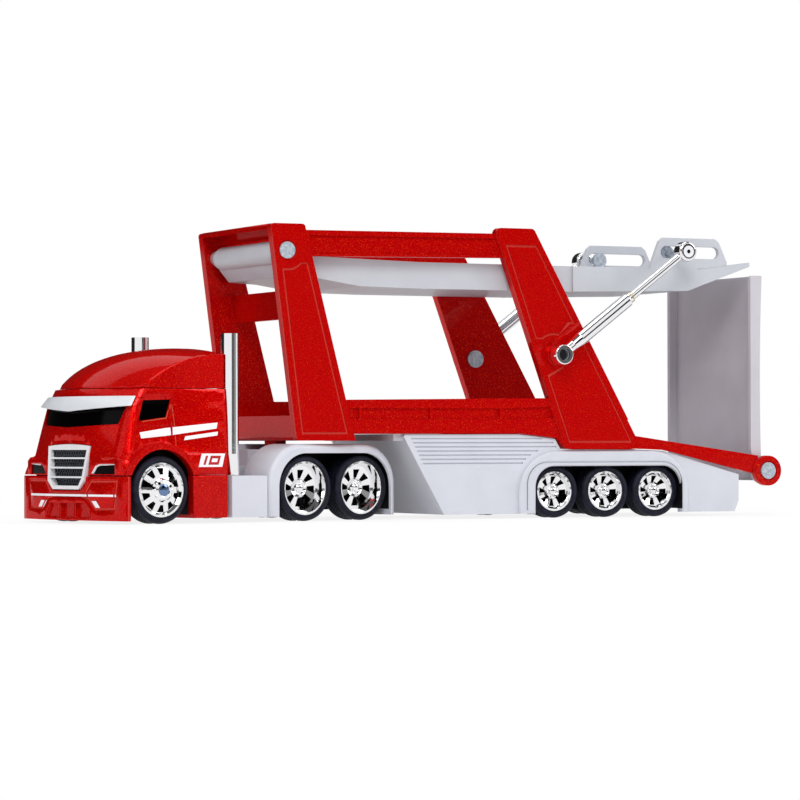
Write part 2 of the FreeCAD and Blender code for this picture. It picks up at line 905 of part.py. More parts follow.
def frame_window(corner):
    """The big opening between the posts."""
    front = (corner["front_top_rear"], corner["front_foot_rear"])
    rear = (corner["rear_top_front"], corner["rear_foot_front"])
    _, _, under_front, under_rear = top_rail_zs()
    return [
        (on_line(*front, under_front), under_front),
        (on_line(*rear, under_rear), under_rear),
        (on_line(*rear, dim("low_rail_top_rear_z")), dim("low_rail_top_rear_z")),
        (on_line(*front, dim("low_rail_top_front_z")), dim("low_rail_top_front_z")),
    ]


def between(edge, z, margin):
    """The x of a post's slanted edge at height z, moved by a margin along X."""
    return on_line(*edge, z) + margin


def on_circle(centre, radius, degrees):
    """The point of a circle in the side view at an angle from +X."""
    turn = math.radians(degrees)
    return centre[0] + radius * math.cos(turn), centre[1] + radius * math.sin(turn)


def heel_round(corner):
    """Start, middle and end of the arc that rounds the rear post's foot at its rear edge."""
    head = corner["rear_top_rear"]
    foot = corner["rear_foot_rear"]
    radius = dim("post_foot_round")
    lean = math.atan2(head[1].value - foot[1].value, foot[0].value - head[0].value)
    reach = radius * (1 / math.tan(lean / 2))
    centre = (foot[0] - reach, foot[1] + radius)
    start = (foot[0] - reach * math.cos(lean), foot[1] + reach * math.sin(lean))
    return start, on_circle(centre, radius, -math.degrees(lean / 2)), (foot[0] - reach, foot[1])


# start, middle and end of the panels' hollows round the pins, in degrees from +X
FRONT_HOLLOW = (-84, -64, -42)
UPPER_HOLLOW = (75, 100, 128)


def front_panel(edges, inset):
    """Outline of the front post's panel, its top hollowed round the deck's pin."""
    front, rear = edges
    axis = (dim("deck_axis_x"), dim("deck_axis_z"))
    radius = dim("panel_arc_radius") - dim("panel_inset") + inset
    arc_start, arc_middle, arc_end = [on_circle(axis, radius, degrees) for degrees in FRONT_HOLLOW]
    low = dim("front_post_foot_z") + inset
    return [
        (between(front, arc_start[1], inset), arc_start[1]),
        (arc_start[0], arc_start[1], arc_middle),
        arc_end,
        (between(rear, arc_end[1], -inset), arc_end[1]),
        (between(rear, low, -inset), low),
        (between(front, low, inset), low),
    ]


def upper_panel(edges, inset):
    """Outline of the rear post's upper panel, its foot hollowed round the strut's boss."""
    front, rear = edges
    axis = (dim("strut_axis_x"), dim("strut_axis_z"))
    radius = dim("boss_arc_radius") - dim("panel_inset") + inset
    arc_start, arc_middle, arc_end = [on_circle(axis, radius, degrees) for degrees in UPPER_HOLLOW]
    high = rear_post_top_z() - dim("panel_head_inset") - inset
    heel = dim("strut_axis_z") + dim("panel_heel_rise") + inset
    return [
        (between(front, high, inset), high),
        (between(rear, high, -inset), high),
        (between(rear, heel, -inset), heel),
        (between(rear, heel, -inset) - dim("panel_heel_width"), heel),
        (arc_start[0], arc_start[1], arc_middle),
        arc_end,
        (between(front, arc_end[1], inset), arc_end[1]),
    ]


def lower_panel(edges, inset):
    """Outline of the rear post's lower panel, its top slanting up along the strut."""
    front, rear = edges
    axis_z = dim("strut_axis_z")
    front_z = axis_z - dim("boss_arc_radius") + dim("panel_inset") - inset
    step_z = axis_z - dim("panel_step_drop") - inset
    high_z = axis_z + dim("panel_heel_rise") - dim("panel_strut_gap") - inset
    low = dim("rear_post_foot_z") + inset
    return [
        (between(front, front_z, inset), front_z),
        (dim("strut_axis_x") + dim("panel_step_run"), step_z),
        (between(rear, high_z, -inset), high_z),
        (between(rear, low, -inset), low),
        (between(front, low, inset), low),
    ]


def post_grooves(front_edges, rear_edges):
    """Nested loops of the engraved outlines of the posts' three panels."""
    inset = dim("panel_inset")
    loops = []
    for panel, edges in ((front_panel, front_edges), (upper_panel, rear_edges), (lower_panel, rear_edges)):
        loops += [panel(edges, inset), panel(edges, inset + dim("groove_width"))]
    return loops


def rail_faces(front, rear):
    """Outlines of the two rails' outside faces, from post to post."""
    top_front, top_rear, under_front, under_rear = top_rail_zs()
    foot = dim("low_rail_end_z") - REACH
    faces = []
    for front_high, rear_high, rear_low, front_low in (
        (top_front + REACH, top_rear + REACH, under_rear - REACH, under_front - REACH),
        (dim("low_rail_top_front_z") + REACH, dim("low_rail_top_rear_z") + REACH, foot, foot),
    ):
        faces.append([
            (on_line(*front, front_high), front_high),
            (on_line(*rear, rear_high), rear_high),
            (on_line(*rear, rear_low), rear_low),
            (on_line(*front, front_low), front_low),
        ])
    return faces


# front faces of the low rail's upright ribs
RAIL_RIBS = [12.15, 31.05, 50.05]


def rail_webs(front, rear):
    """Outlines of the webs between the rails' flanges, the lower one split by upright ribs."""
    top_front, top_rear, under_front, under_rear = top_rail_zs()
    high = top_front - dim("web_under_top")
    low = under_front + dim("web_over_foot")
    gap = dim("web_end_gap")
    webs = [[
        (on_line(*front, high) + gap, high),
        (on_line(*rear, high) - gap, high + (top_rear - top_front)),
        (on_line(*rear, low) - gap, low + (under_rear - under_front)),
        (on_line(*front, low) + gap, low),
    ]]
    bay_low = dim("bay_low_z")
    bay_high = dim("bay_high_z")
    bay_start = on_line(*front, bay_high) + dim("bay_front_gap")
    for rib_x in RAIL_RIBS:
        webs.append(box_loop(bay_start, bay_low, as_size(rib_x), bay_high))
        bay_start = as_size(rib_x) + dim("rib_width")
    webs.append([
        (bay_start, bay_low),
        (on_line(*rear, bay_low) - dim("bay_rear_gap"), bay_low + dim("bay_rear_rise")),
        (on_line(*rear, bay_high) - dim("bay_rear_gap"), bay_high + dim("bay_rear_rise")),
        (bay_start, bay_high),
    ])
    return webs


def thin_arm(body, corner, side):
    """Set the rear arm behind the post's face and thin it from inside, to let the ramp's cheeks in."""
    far = dim("ramp_axis_x") + dim("ramp_boss_radius") + REACH
    head = dim("arm_top_front_z") + dim("arm_face_rise")
    heel = dim("ramp_axis_z") - dim("ramp_boss_radius") - REACH
    heel_start, heel_middle, heel_end = heel_round(corner)
    face = [
        (on_line(corner["rear_top_rear"], corner["rear_foot_rear"], head), head),
        (heel_start[0], heel_start[1], heel_middle),
        heel_end,
        (heel_end[0], heel),
        (far, heel),
        (far, head),
    ]
    cut_in(body, "arm_face", side, dim("frame_out"), dim("arm_setback"), [face])
    relief = box_loop(dim("rear_post_foot_rear_x") + dim("arm_relief_gap"), heel, far, head)
    cut_in(body, "arm_relief", side, dim("arm_in"), dim("arm_in") - dim("frame_in"), [relief])


def add_bosses(body, side):
    """The frame's bosses for the strut and the ramp, and its holes for all three pins."""
    deck_axis = (dim("deck_axis_x"), dim("deck_axis_z"))
    ramp_axis = (dim("ramp_axis_x"), dim("ramp_axis_z"))
    strut_axis = (dim("strut_axis_x"), dim("strut_axis_z"))
    ramp_out = dim("frame_out") + dim("ramp_boss_proud")
    strut_out = dim("strut_boss_out")
    ramp_boss = [("circle", *ramp_axis, dim("ramp_boss_radius"))]
    pad_out(body, "ramp_boss", side, dim("arm_in"), ramp_out, ramp_boss)
    ramp_seat = [("circle", *ramp_axis, dim("ramp_pin_recess"))]
    cut_in(body, "ramp_pin_recess", side, ramp_out, dim("ramp_boss_proud"), ramp_seat)
    strut_boss = [("circle", *strut_axis, dim("strut_boss_radius"))]
    pad_out(body, "strut_boss", side, dim("frame_out") - OVERLAP, strut_out, strut_boss)
    deck_seat = [("circle", *deck_axis, dim("deck_pin_recess"))]
    cut_in(body, "deck_pin_recess", side, dim("frame_out"), dim("deck_pin_seat"), deck_seat)
    holes = [
        ("circle", *deck_axis, dim("deck_pin_radius")),
        ("circle", *strut_axis, dim("strut_pin_radius")),
        ("circle", *ramp_axis, dim("ramp_pin_radius")),
    ]
    cut_in(body, "pin_holes", side, strut_out + REACH, strut_out - dim("frame_in") + REACH * 2, holes)


def build_side_frame(name, side):
    """One cast side frame with its windows, web recesses, panel outlines, bosses and pin holes."""
    corner = frame_corners()
    body = new_body(name)
    face = dim("frame_out")
    pad_out(body, "plate", side, dim("frame_in"), face, [frame_outline(corner), frame_window(corner)])
    front_edges = (
        (corner["front_top_front"], corner["front_foot_front"]),
        (corner["front_top_rear"], corner["front_foot_rear"]),
    )
    rear_edges = (
        (corner["rear_top_front"], corner["rear_foot_front"]),
        (corner["rear_top_rear"], corner["rear_foot_rear"]),
    )
    bay = (front_edges[1], rear_edges[0])
    cut_in(body, "rail_setback", side, face, dim("rail_setback"), rail_faces(*bay))
    cut_in(body, "webs", side, face - dim("rail_setback"), dim("web_depth"), rail_webs(*bay))
    cut_in(body, "outlines", side, face, dim("groove_depth"), post_grooves(front_edges, rear_edges))
    thin_arm(body, corner, side)
    add_bosses(body, side)
    for radius, names in (
        ("frame_round", ("front_top_front", "front_top_rear", "front_foot_front")),
        ("post_head_round", ("rear_top_front", "rear_top_rear")),
        ("post_foot_round", ("rear_foot_front",)),
    ):
        ends = [tuple(as_size(value).value for value in corner[name]) for name in names]
        round_edges(body, dim(radius), across(ends))
    return body


# Trailer cross members


def build_top_bar():
    """The bar between the heads of the front posts, with a lip under its rear edge."""
    body = new_body("front_top_bar")
    front_x = dim("front_post_top_front_x")
    top_z = front_post_top_z()
    low_z = top_z - dim("top_bar_thick")
    rear_x = front_x + dim("top_bar_depth")
    lip_x = rear_x - dim("top_bar_lip_wide")
    lip_z = low_z - dim("top_bar_lip")
    pad_middle(body, "profile", dim("cross_half"), [[
        (front_x, low_z),
        (lip_x, low_z),
        (lip_x, lip_z),
        (rear_x, lip_z),
        (rear_x, top_z),
        (front_x, top_z),
    ]])
    round_edges(body, dim("top_bar_round"), across([(front_x.value, top_z.value)]))
    return body


def build_mid_bar():
    """The plain bar under the deck's nose."""
    body = new_body("front_mid_bar")
    front_x = dim("mid_bar_front_x")
    top_z = over_pivot(-dim("mid_bar_under_pin"))
    bar = box_loop(front_x, top_z - dim("mid_bar_height"), front_x + dim("mid_bar_thick"), top_z)
    pad_middle(body, "profile", dim("cross_half"), [bar])
    return body


def build_neck():
    """The low front panel and the neck floor behind it, with the kingpin and its boss."""
    body = new_body("neck_floor")
    foot_x = dim("front_post_foot_front_x")
    foot_z = dim("front_post_foot_z")
    panel_x = foot_x + dim("low_panel_thick")
    lean = dim("low_panel_lean")
    floor_z = dim("neck_floor_z")
    end_x = dim("neck_floor_end_x")
    pad_middle(body, "profile", dim("cross_half"), [[
        (foot_x, foot_z),
        (panel_x, foot_z),
        (panel_x, floor_z),
        (end_x, floor_z),
        (end_x, dim("neck_floor_top_z")),
        (panel_x, dim("neck_floor_top_z")),
        (panel_x - lean, dim("low_panel_top_z")),
        (foot_x - lean, dim("low_panel_top_z")),
    ]])
    boss_top = floor_z + OVERLAP
    boss_foot = dim("turret_top_z") + dim("kingpin_boss_gap")
    boss = add_sketch(body, "boss", "XY", boss_top, [("circle", 0, 0, dim("kingpin_boss_radius"))])
    pad(body, boss, boss_top - boss_foot, reverse=True)
    pin = add_sketch(body, "pin", "XY", floor_z, [("circle", 0, 0, dim("kingpin_radius"))])
    pad(body, pin, floor_z - dim("turret_top_z") + dim("kingpin_depth"), reverse=True)
    round_edges(body, dim("neck_round"), across([(foot_x.value, foot_z.value)]))
    return body


# Grey lower body of the trailer


def arch_loop(front_x, rear_x, top_z, foot_z, corner):
    """An arch outline with arc corners, open side down."""
    bend = corner * (1 - math.sqrt(0.5))
    return [
        (front_x, foot_z),
        (front_x, top_z - corner, (front_x + bend, top_z - bend)),
        (front_x + corner, top_z),
        (rear_x - corner, top_z, (rear_x - bend, top_z - bend)),
        (rear_x, top_z - corner),
        (rear_x, foot_z),
    ]


def floor_profile():
    """Side view of the floor and the slanted bulkhead, one bent sheet."""
    thick = dim("floor_thick")
    top_z = dim("skirt_top_z")
    low_z = dim("floor_low_z")
    end_z = dim("floor_end_z")
    foot_z = dim("skirt_foot_z")
    drop_x = dim("low_rail_drop_x")
    behind_x = dim("bulkhead_top_x") + dim("bulkhead_thick") + dim("bulkhead_knee")
    return [
        (dim("floor_front_x"), top_z),
        (dim("floor_front_x"), top_z - thick),
        (dim("bulkhead_top_x") + dim("bulkhead_inset"), top_z - thick),
        (dim("bulkhead_foot_x") - dim("bulkhead_toe"), foot_z),
        (dim("bulkhead_foot_x") + dim("bulkhead_thick"), foot_z),
        (behind_x, top_z - thick),
        (drop_x, top_z - thick),
        (dim("floor_low_under_x"), low_z - thick),
        (dim("rear_post_foot_rear_x"), low_z - thick),
        (dim("skirt_rear_x"), end_z - thick),
        (dim("skirt_rear_x"), end_z),
        (dim("rear_post_foot_rear_x"), low_z),
        (dim("floor_low_x"), low_z),
        (drop_x + dim("floor_drop_run"), top_z),
    ]


def skirt_outline():
    """Side view of a skirt, a gap below the side frame all along."""
    gap = dim("seat_gap")
    top_z = dim("skirt_top_z")
    foot_z = dim("skirt_foot_z")
    rear_x = dim("skirt_rear_x")
    front_x = dim("bulkhead_top_x")
    return [
        (front_x, top_z - gap / 2),
        (front_x - dim("skirt_nose_run"), top_z - dim("skirt_nose_drop")),
        (dim("bulkhead_foot_x"), foot_z),
        (rear_x - dim("skirt_heel_run"), foot_z),
        (rear_x, foot_z + dim("skirt_heel_rise")),
        (rear_x, dim("skirt_rear_top_z")),
        (dim("arm_under_front_x"), dim("arm_under_front_z") - gap),
        (dim("rear_post_foot_rear_x"), dim("rear_post_foot_z") - gap),
        (dim("rear_post_foot_front_x") - dim("skirt_post_gap"), dim("rear_post_foot_z") - gap),
        (dim("low_rail_end_x") - gap, dim("low_rail_end_z") - gap),
        (dim("low_rail_drop_x"), dim("low_rail_under_z") - gap),
    ]


def lower_arch(kind, rear, foot_z, corner):
    """One of the trailer's arch outlines, by the names of its sizes."""
    return arch_loop(dim(f"{kind}_front_x"), dim(rear), dim(f"{kind}_top_z"), foot_z, dim(corner))


# rear ends of the louvres, from the top one down
LOUVRE_ENDS = [62.0, 65.2, 66.0, 60.9, 58.9, 57.6, 56.7]


def louvre_slots():
    """Side view of the louvres, which start along the bulkhead's slant."""
    height = dim("skirt_top_z") - dim("skirt_foot_z")
    slant = (dim("bulkhead_foot_x") - dim("bulkhead_top_x")) / height
    slots = []
    for step, end_x in enumerate(LOUVRE_ENDS):
        low = dim("louvre_top_z") - dim("louvre_pitch") * step
        start = dim("bulkhead_top_x") + slant * (dim("skirt_top_z") - low) + dim("louvre_start_gap")
        slots.append(box_loop(start, low, as_size(end_x), low + dim("louvre_height")))
    return slots


def build_lower_body():
    """Skirts, wheel arches, louvres, slanted bulkhead and floor of the trailer as one moulding."""
    body = new_body("lower_body")
    foot_z = dim("skirt_foot_z")
    face = dim("skirt_out")
    inside = dim("skirt_in")
    pad_middle(body, "floor", inside + GRIP, [floor_profile()])
    arch = lower_arch("arch_inner", "arch_inner_rear_x", foot_z - REACH, "arch_corner")
    outer = lower_arch("arch_outer", "arch_outer_rear_x", foot_z, "lip_corner")
    inner = lower_arch("lip_inner", "arch_inner_rear_x", foot_z, "lip_inner_corner")
    lip = outer + list(reversed(reverse_arcs(inner)))
    for label, side in SIDES.items():
        pad_out(body, f"skirt_{label}", side, inside, face, [skirt_outline()])
        cut_in(body, f"arch_{label}", side, face, face - inside + GRIP, [arch])
        pad_out(body, f"lip_{label}", side, face - dim("lip_grip"), dim("lip_out"), [lip])
        cut_in(body, f"louvres_{label}", side, face, dim("louvre_depth"), louvre_slots())

    def lip_rim(edge):
        """The lips' edges on their outside faces, but for those at the foot."""
        return on_outside(edge, SIZES["lip_out"]) and middle_of(edge).z > SIZES["skirt_foot_z"] + OVERLAP

    round_edges(body, dim("lip_round"), lip_rim)
    return body


def reverse_arcs(loop):
    """The same points with each arc's middle handed to the next point, for a loop drawn backwards."""
    result = []
    for number, item in enumerate(loop):
        before = loop[number - 1]
        point = (item[0], item[1])
        if len(before) == 3:
            point = (item[0], item[1], before[2])
        result.append(point)
    return result


def build_bogie():
    """Axle carrier under the trailer floor."""
    body = new_body("trailer_bogie")
    top_z = dim("floor_low_z") - dim("floor_thick")
    low_z = dim("bogie_low_z")
    front_x = dim("trailer_axle_front_x")
    rear_x = dim("trailer_axle_rear_x")
    reach = dim("bogie_reach")
    foot_reach = dim("bogie_foot_reach")
    foot_z = low_z + dim("bogie_foot_rise")
    pad_middle(body, "block", dim("bogie_half"), [[
        (front_x - reach, foot_z),
        (front_x - foot_reach, low_z),
        (rear_x + foot_reach, low_z),
        (rear_x + reach, foot_z),
        (rear_x + reach, top_z - dim("bogie_tail_drop")),
        (dim("rear_post_foot_rear_x"), top_z),
        (dim("low_rail_end_x") + dim("bogie_top_inset"), top_z),
        (front_x - reach, top_z),
    ]])
    axles = ("trailer_axle_front_x", "trailer_axle_mid_x", "trailer_axle_rear_x")
    bore = dim("axle_radius") + dim("running_gap")
    holes = [("circle", dim(axle), dim("trailer_tyre_radius"), bore) for axle in axles]
    cut_middle(body, "axle_holes", dim("bogie_half"), holes)
    return body


# Pins


def build_pins(name, axis_x, axis_z, steps):
    """A pair of pins, left and right, each made of discs from one distance to another."""
    body = new_body(name)
    for label, side in SIDES.items():
        for number, (radius, start, end) in enumerate(steps):
            pad_out(body, f"{label}_{number}", side, start, end, [("circle", axis_x, axis_z, radius)])
    return body


# Wheels


def mirrored(points):
    """Loops of a wheel profile for the left and the right wheel."""
    left = [(-as_size(y), z) for y, z in points]
    right = [(y, z) for y, z in points]
    return [left, right]


def build_tyres(name, kind, axle_x, radius, out, on_tractor):
    """The pair of tyres of one axle, each a turned ring with rounded shoulders."""
    body = new_body(name)
    inner = out - dim(f"{kind}_tyre_width")
    seat = dim(f"{kind}_rim_radius")
    shoulder = dim("tyre_shoulder")
    shoulder_in = dim("shoulder_in")
    shoulder_radius = radius - dim("shoulder_drop")
    profile = [
        (inner, seat),
        (inner, radius - shoulder),
        (inner + shoulder_in, shoulder_radius),
        (inner + shoulder, radius),
        (out - shoulder, radius),
        (out - shoulder_in, shoulder_radius),
        (out, radius - shoulder),
        (out - dim("bead_lean"), seat + dim("bead_rise")),
        (out - dim("bead_step"), seat),
    ]
    revolve(body, add_sketch(body, "profile", "YZ", 0, mirrored(profile)))
    put_on_axle(body, axle_x, radius, on_tractor)
    return body


def rim_profile(kind, out):
    """Half section of a rim from its back, over the hub, to the lip."""
    inner = out - dim(f"{kind}_tyre_width") + dim("rim_inset")
    seat = dim(f"{kind}_rim_radius")
    well = seat - dim("rim_wall")
    lip = out - dim(f"{kind}_lip_drop")
    face = lip - dim(f"{kind}_dish_rim")
    middle = lip - dim(f"{kind}_dish_hub")
    hub = dim(f"{kind}_hub_radius")
    bore = dim("axle_radius")
    edge = dim("hub_edge")
    flare = dim("hub_flare")
    return [
        (inner, seat),
        (inner, well),
        (face - dim("face_thick"), well),
        (middle - dim("face_thick") - edge, hub + flare),
        (middle - dim("hub_depth"), hub),
        (middle - dim("hub_depth"), bore),
        (middle + dim("hub_mouth"), bore),
        (middle + dim("hub_crown"), (hub + bore) / 2),
        (middle + edge, hub),
        (middle - edge, hub + flare),
        (face, well - flare),
        (lip, well),
        (lip, seat),
    ]


def build_rims(name, kind, axle_x, radius, out, on_tractor):
    """The pair of rims of one axle: barrel, pierced face and hub, turned and then windowed."""
    body = new_body(name)
    revolve(body, add_sketch(body, "profile", "YZ", 0, mirrored(rim_profile(kind, out))))
    low = dim(f"{kind}_window_low")
    high = dim(f"{kind}_window_high")
    low_half = dim(f"{kind}_window_low_half")
    high_half = dim(f"{kind}_window_high_half")
    skew = dim(f"{kind}_window_skew")
    window = [(-low_half, low), (low_half, low), (skew + high_half, high), (skew - high_half, high)]
    sketch = add_sketch(body, "window", "XZ", out + REACH, [window])
    cut = pocket(body, sketch, (out + REACH) * 2)
    polar(body, cut, sketch, WINDOW_COUNTS[kind])
    put_on_axle(body, axle_x, radius, on_tractor)
    return body


def build_axle(name, axle_x, radius, half, on_tractor):
    """The steel axle between a pair of rims."""
    body = new_body(name)
    sketch = add_sketch(body, "rod", "XZ", -half, [("circle", 0, 0, dim("axle_radius"))])
    pad(body, sketch, half * 2)
    put_on_axle(body, axle_x, radius, on_tractor)
    return body


WINDOW_COUNTS = {"steer": 10, "drive": 8, "trailer": 8}
WHEELSETS = {
    "steer": "steer",
    "drive_front": "drive",
    "drive_rear": "drive",
    "trailer_front": "trailer",
    "trailer_mid": "trailer",
    "trailer_rear": "trailer",
}
AXLES = {
    "steer": "steer_axle_x",
    "drive_front": "drive_axle_front_x",
    "drive_rear": "drive_axle_rear_x",
    "trailer_front": "trailer_axle_front_x",
    "trailer_mid": "trailer_axle_mid_x",
    "trailer_rear": "trailer_axle_rear_x",
}


def build_wheels():
    """All six wheelsets, three of the tractor and three of the trailer."""
    for name, kind in WHEELSETS.items():
        on_tractor = kind != "trailer"
        vehicle = "tractor" if on_tractor else "trailer"
        axle_x = dim(AXLES[name])
        radius = dim(f"{vehicle}_tyre_radius")
        out = dim(f"{vehicle}_wheel_out")
        build_tyres(f"{name}_tyres", kind, axle_x, radius, out, on_tractor)
        build_rims(f"{name}_rims", kind, axle_x, radius, out, on_tractor)
        half = out - dim(f"{kind}_lip_drop") - dim(f"{kind}_dish_hub") + dim("axle_proud")
        build_axle(f"{name}_axle", axle_x, radius, half, on_tractor)


# Upper deck


# the rolled nose towards each end: share of the end's taper inwards, and what its radius loses
NOSE_ENDS = [(0.0, 0.7), (0.4, 0.25), (1.0, 0.0)]


def deck_outline():
    """Side view of the deck's front part, from its nose block along the belly and the wall's top."""
    axis_x = dim("deck_axis_x")
    axis_z = dim("deck_axis_z")
    under_z = over_pivot(-dim("deck_under_depth"))
    wall_front_z, wall_rear_z = deck_wall_zs()
    head_x = axis_x + dim("deck_head_run")
    return [
        (head_x, axis_z + dim("deck_head_rise")),
        (axis_x - dim("deck_head_toe"), axis_z - dim("deck_head_toe_drop")),
        (head_x, axis_z - dim("deck_head_drop")),
        (dim("deck_belly_front_x"), under_z + dim("deck_belly_front_rise")),
        (dim("deck_belly_mid_x"), under_z + dim("deck_belly_mid_rise")),
        (dim("deck_belly_rear_x"), under_z),
        (dim("deck_step_x"), under_z),
        (dim("deck_step_x"), wall_rear_z),
        (dim("deck_belly_rear_x"), wall_rear_z + dim("deck_wall_mid_rise")),
        (dim("deck_wall_start_x"), wall_front_z),
        (axis_x + dim("deck_wall_lead"), wall_front_z + dim("deck_wall_lead_rise")),
    ]


def tray_outline():
    """Side view of the tray's hollow, a floor's thickness above the belly and open at the tail."""
    axis_x = dim("deck_axis_x")
    axis_z = dim("deck_axis_z")
    floor = dim("deck_floor")
    under_z = over_pivot(-dim("deck_under_depth")) + floor
    shift = dim("tray_bend_shift")
    front_x = axis_x + dim("tray_front_run")
    tip_x = dim("deck_tip_x")
    high_z = axis_z + dim("deck_under_depth")
    return [
        (front_x, high_z),
        (front_x, axis_z - dim("tray_front_drop") + floor),
        (dim("deck_belly_front_x") + shift, under_z + dim("deck_belly_front_rise")),
        (dim("deck_belly_mid_x") + shift, under_z + dim("deck_belly_mid_rise")),
        (dim("deck_belly_rear_x"), under_z),
        (dim("deck_step_x"), under_z),
        (dim("deck_tail_x"), over_pivot(-dim("deck_tail_drop")) + floor),
        (tip_x - dim("tray_tip_run"), axis_z - dim("tray_tip_drop")),
        (tip_x + REACH, axis_z - dim("tray_end_drop")),
        (tip_x + REACH, high_z),
    ]


def cut_toes(body):
    """Cut the deck's front corners in plan, where it narrows to its nose."""
    axis_x = dim("deck_axis_x")
    front_x = axis_x - dim("deck_toe_run")
    rear_x = axis_x + dim("deck_toe_end")
    nose = dim("nose_half")
    wide = dim("deck_front_half")
    for label, side in SIDES.items():
        toe = add_sketch(body, f"toe_{label}", "XY", dim("deck_axis_z") + REACH, [[
            (front_x, nose * side),
            (axis_x - dim("deck_toe_start"), nose * side),
            (rear_x, wide * side),
            (rear_x, (wide + REACH) * side),
            (front_x, (wide + REACH) * side),
        ]])
        pocket(body, toe, dim("deck_toe_depth"))


def add_nose(body):
    """The deck's rolled nose, its ends tapered, and the bridge that joins it to the tray."""
    axis_x = dim("deck_axis_x")
    axis_z = dim("deck_axis_z")
    roll = dim("nose_roll_radius")
    rolls = []
    for number, (inwards, drop) in enumerate(NOSE_ENDS):
        for side in (LEFT, RIGHT):
            out = (dim("nose_half") - dim("nose_end_taper") * inwards) * side
            circle = [("circle", axis_x, axis_z - dim("nose_drop"), roll - drop)]
            rolls.append((out.value, add_sketch(body, f"nose_{number}_{side + 1}", "XZ", out, circle)))
    rolls.sort(key=lambda entry: entry[0])
    loft(body, [sketch for _, sketch in rolls])
    skin = dim("nose_bridge_skin")
    rear_x = axis_x + dim("nose_bridge_run")
    pad_middle(body, "bridge", dim("nose_half") - dim("nose_end_taper") / 2, [[
        (axis_x, axis_z + roll - dim("nose_drop") - skin),
        (rear_x, axis_z + dim("nose_bridge_rise")),
        (rear_x, axis_z - dim("nose_bridge_drop")),
        (axis_x, axis_z - roll - dim("nose_drop") + skin),
    ]])


def build_deck():
    """The tilting upper deck: a tray with a rolled nose, raised walls and a ramped tail."""
    body = new_body("upper_deck")
    wall_rear_z = deck_wall_zs()[1]
    tail_z = over_pivot(-dim("deck_tail_drop"))
    tail_slope = dim("deck_tail_slope")
    tail_x = dim("deck_tail_x")
    knuckle_x = dim("deck_knuckle_x")
    joint_x = knuckle_x - GRIP * 2
    axis_z = dim("deck_axis_z")
    tip_x = dim("deck_tip_x")
    pad_middle(body, "front", dim("deck_front_half"), [deck_outline()])
    pad_middle(body, "rear", dim("deck_rear_half"), [[
        (dim("deck_step_x"), over_pivot(-dim("deck_under_depth"))),
        (tail_x, tail_z),
        (knuckle_x, tail_z + (knuckle_x - tail_x) * tail_slope),
        (knuckle_x, wall_rear_z),
        (dim("deck_step_x"), wall_rear_z),
    ]])
    pad_middle(body, "tail", dim("deck_tail_half"), [[
        (joint_x, tail_z + (joint_x - tail_x) * tail_slope),
        (tip_x, axis_z - dim("deck_tip_thick")),
        (tip_x, axis_z),
        (joint_x, wall_rear_z),
    ]])
    cut_toes(body)
    add_nose(body)
    cut_middle(body, "tray", dim("deck_front_half") - dim("deck_wall"), [tray_outline()])
    bore = [("circle", dim("deck_axis_x"), axis_z, dim("deck_pin_radius") + dim("running_gap"))]
    start = dim("nose_half") + OVERLAP
    for label, side in SIDES.items():
        cut_in(body, f"pin_bore_{label}", side, start, start - dim("deck_pin_in") + REACH, bore)
    return body


def build_bracket(name, side):
    """A slotted bracket that stands on the deck's side wall."""
    body = new_body(name)
    out = dim("deck_rear_half")
    crest = over_pivot(dim("bracket_over_pivot"))
    shoulder = crest - dim("bracket_chamfer_drop")
    chamfer = dim("bracket_chamfer_run")
    front_x = dim("bracket_top_front_x")
    rear_x = dim("bracket_top_rear_x")
    heel_x = dim("bracket_heel_x")
    toe_x = dim("deck_knuckle_x") - GRIP * 2
    foot = deck_wall_zs()[1]
    plate = [
        (dim("bracket_foot_front_x"), foot),
        (front_x, shoulder),
        (front_x + chamfer, crest),
        (rear_x - chamfer, crest),
        (rear_x, shoulder),
        (heel_x, foot + dim("bracket_heel_high")),
        (heel_x, foot + dim("bracket_heel_low")),
        (toe_x, foot + dim("bracket_toe_rise")),
        (toe_x, foot),
    ]
    line_z = slot_z()
    slot = dim("slot_radius")
    slot_front = dim("slot_front_x")
    slot_rear = dim("slot_rear_x")
    opening = [
        (slot_front, line_z - slot),
        (slot_rear - slot, line_z - slot, (slot_rear, line_z)),
        (slot_rear - slot, line_z + slot),
        (slot_front, line_z + slot, (slot_front - slot, line_z)),
    ]
    pad_out(body, "plate", side, out - dim("bracket_thick"), out, [plate, opening])
    return body


# Struts


def strut_profile(reach):
    """Half section of the strut's barrel and rod along its length, between its eyes."""
    barrel = dim("barrel_length")
    neck = dim("barrel_radius")
    full = dim("barrel_end_radius")
    cap = full - dim("barrel_cap_drop")
    rod = dim("rod_radius")
    rod_end = reach - dim("rod_end_gap")
    return [
        (dim("barrel_start"), as_size(0)),
        (dim("barrel_start"), neck),
        (dim("barrel_neck_end"), neck),
        (dim("barrel_cone_end"), full),
        (barrel - dim("barrel_cap_start"), full),
        (barrel - dim("barrel_cap_end"), cap),
        (barrel, cap),
        (barrel, rod),
        (rod_end, rod),
        (rod_end, as_size(0)),
    ]


def rim_of(radius):
    """Pick the round rims of this radius."""
    def chosen(edge):
        return isinstance(edge.Curve, Part.Circle) and abs(edge.Curve.Radius - radius.value) < TOUCH
    return chosen


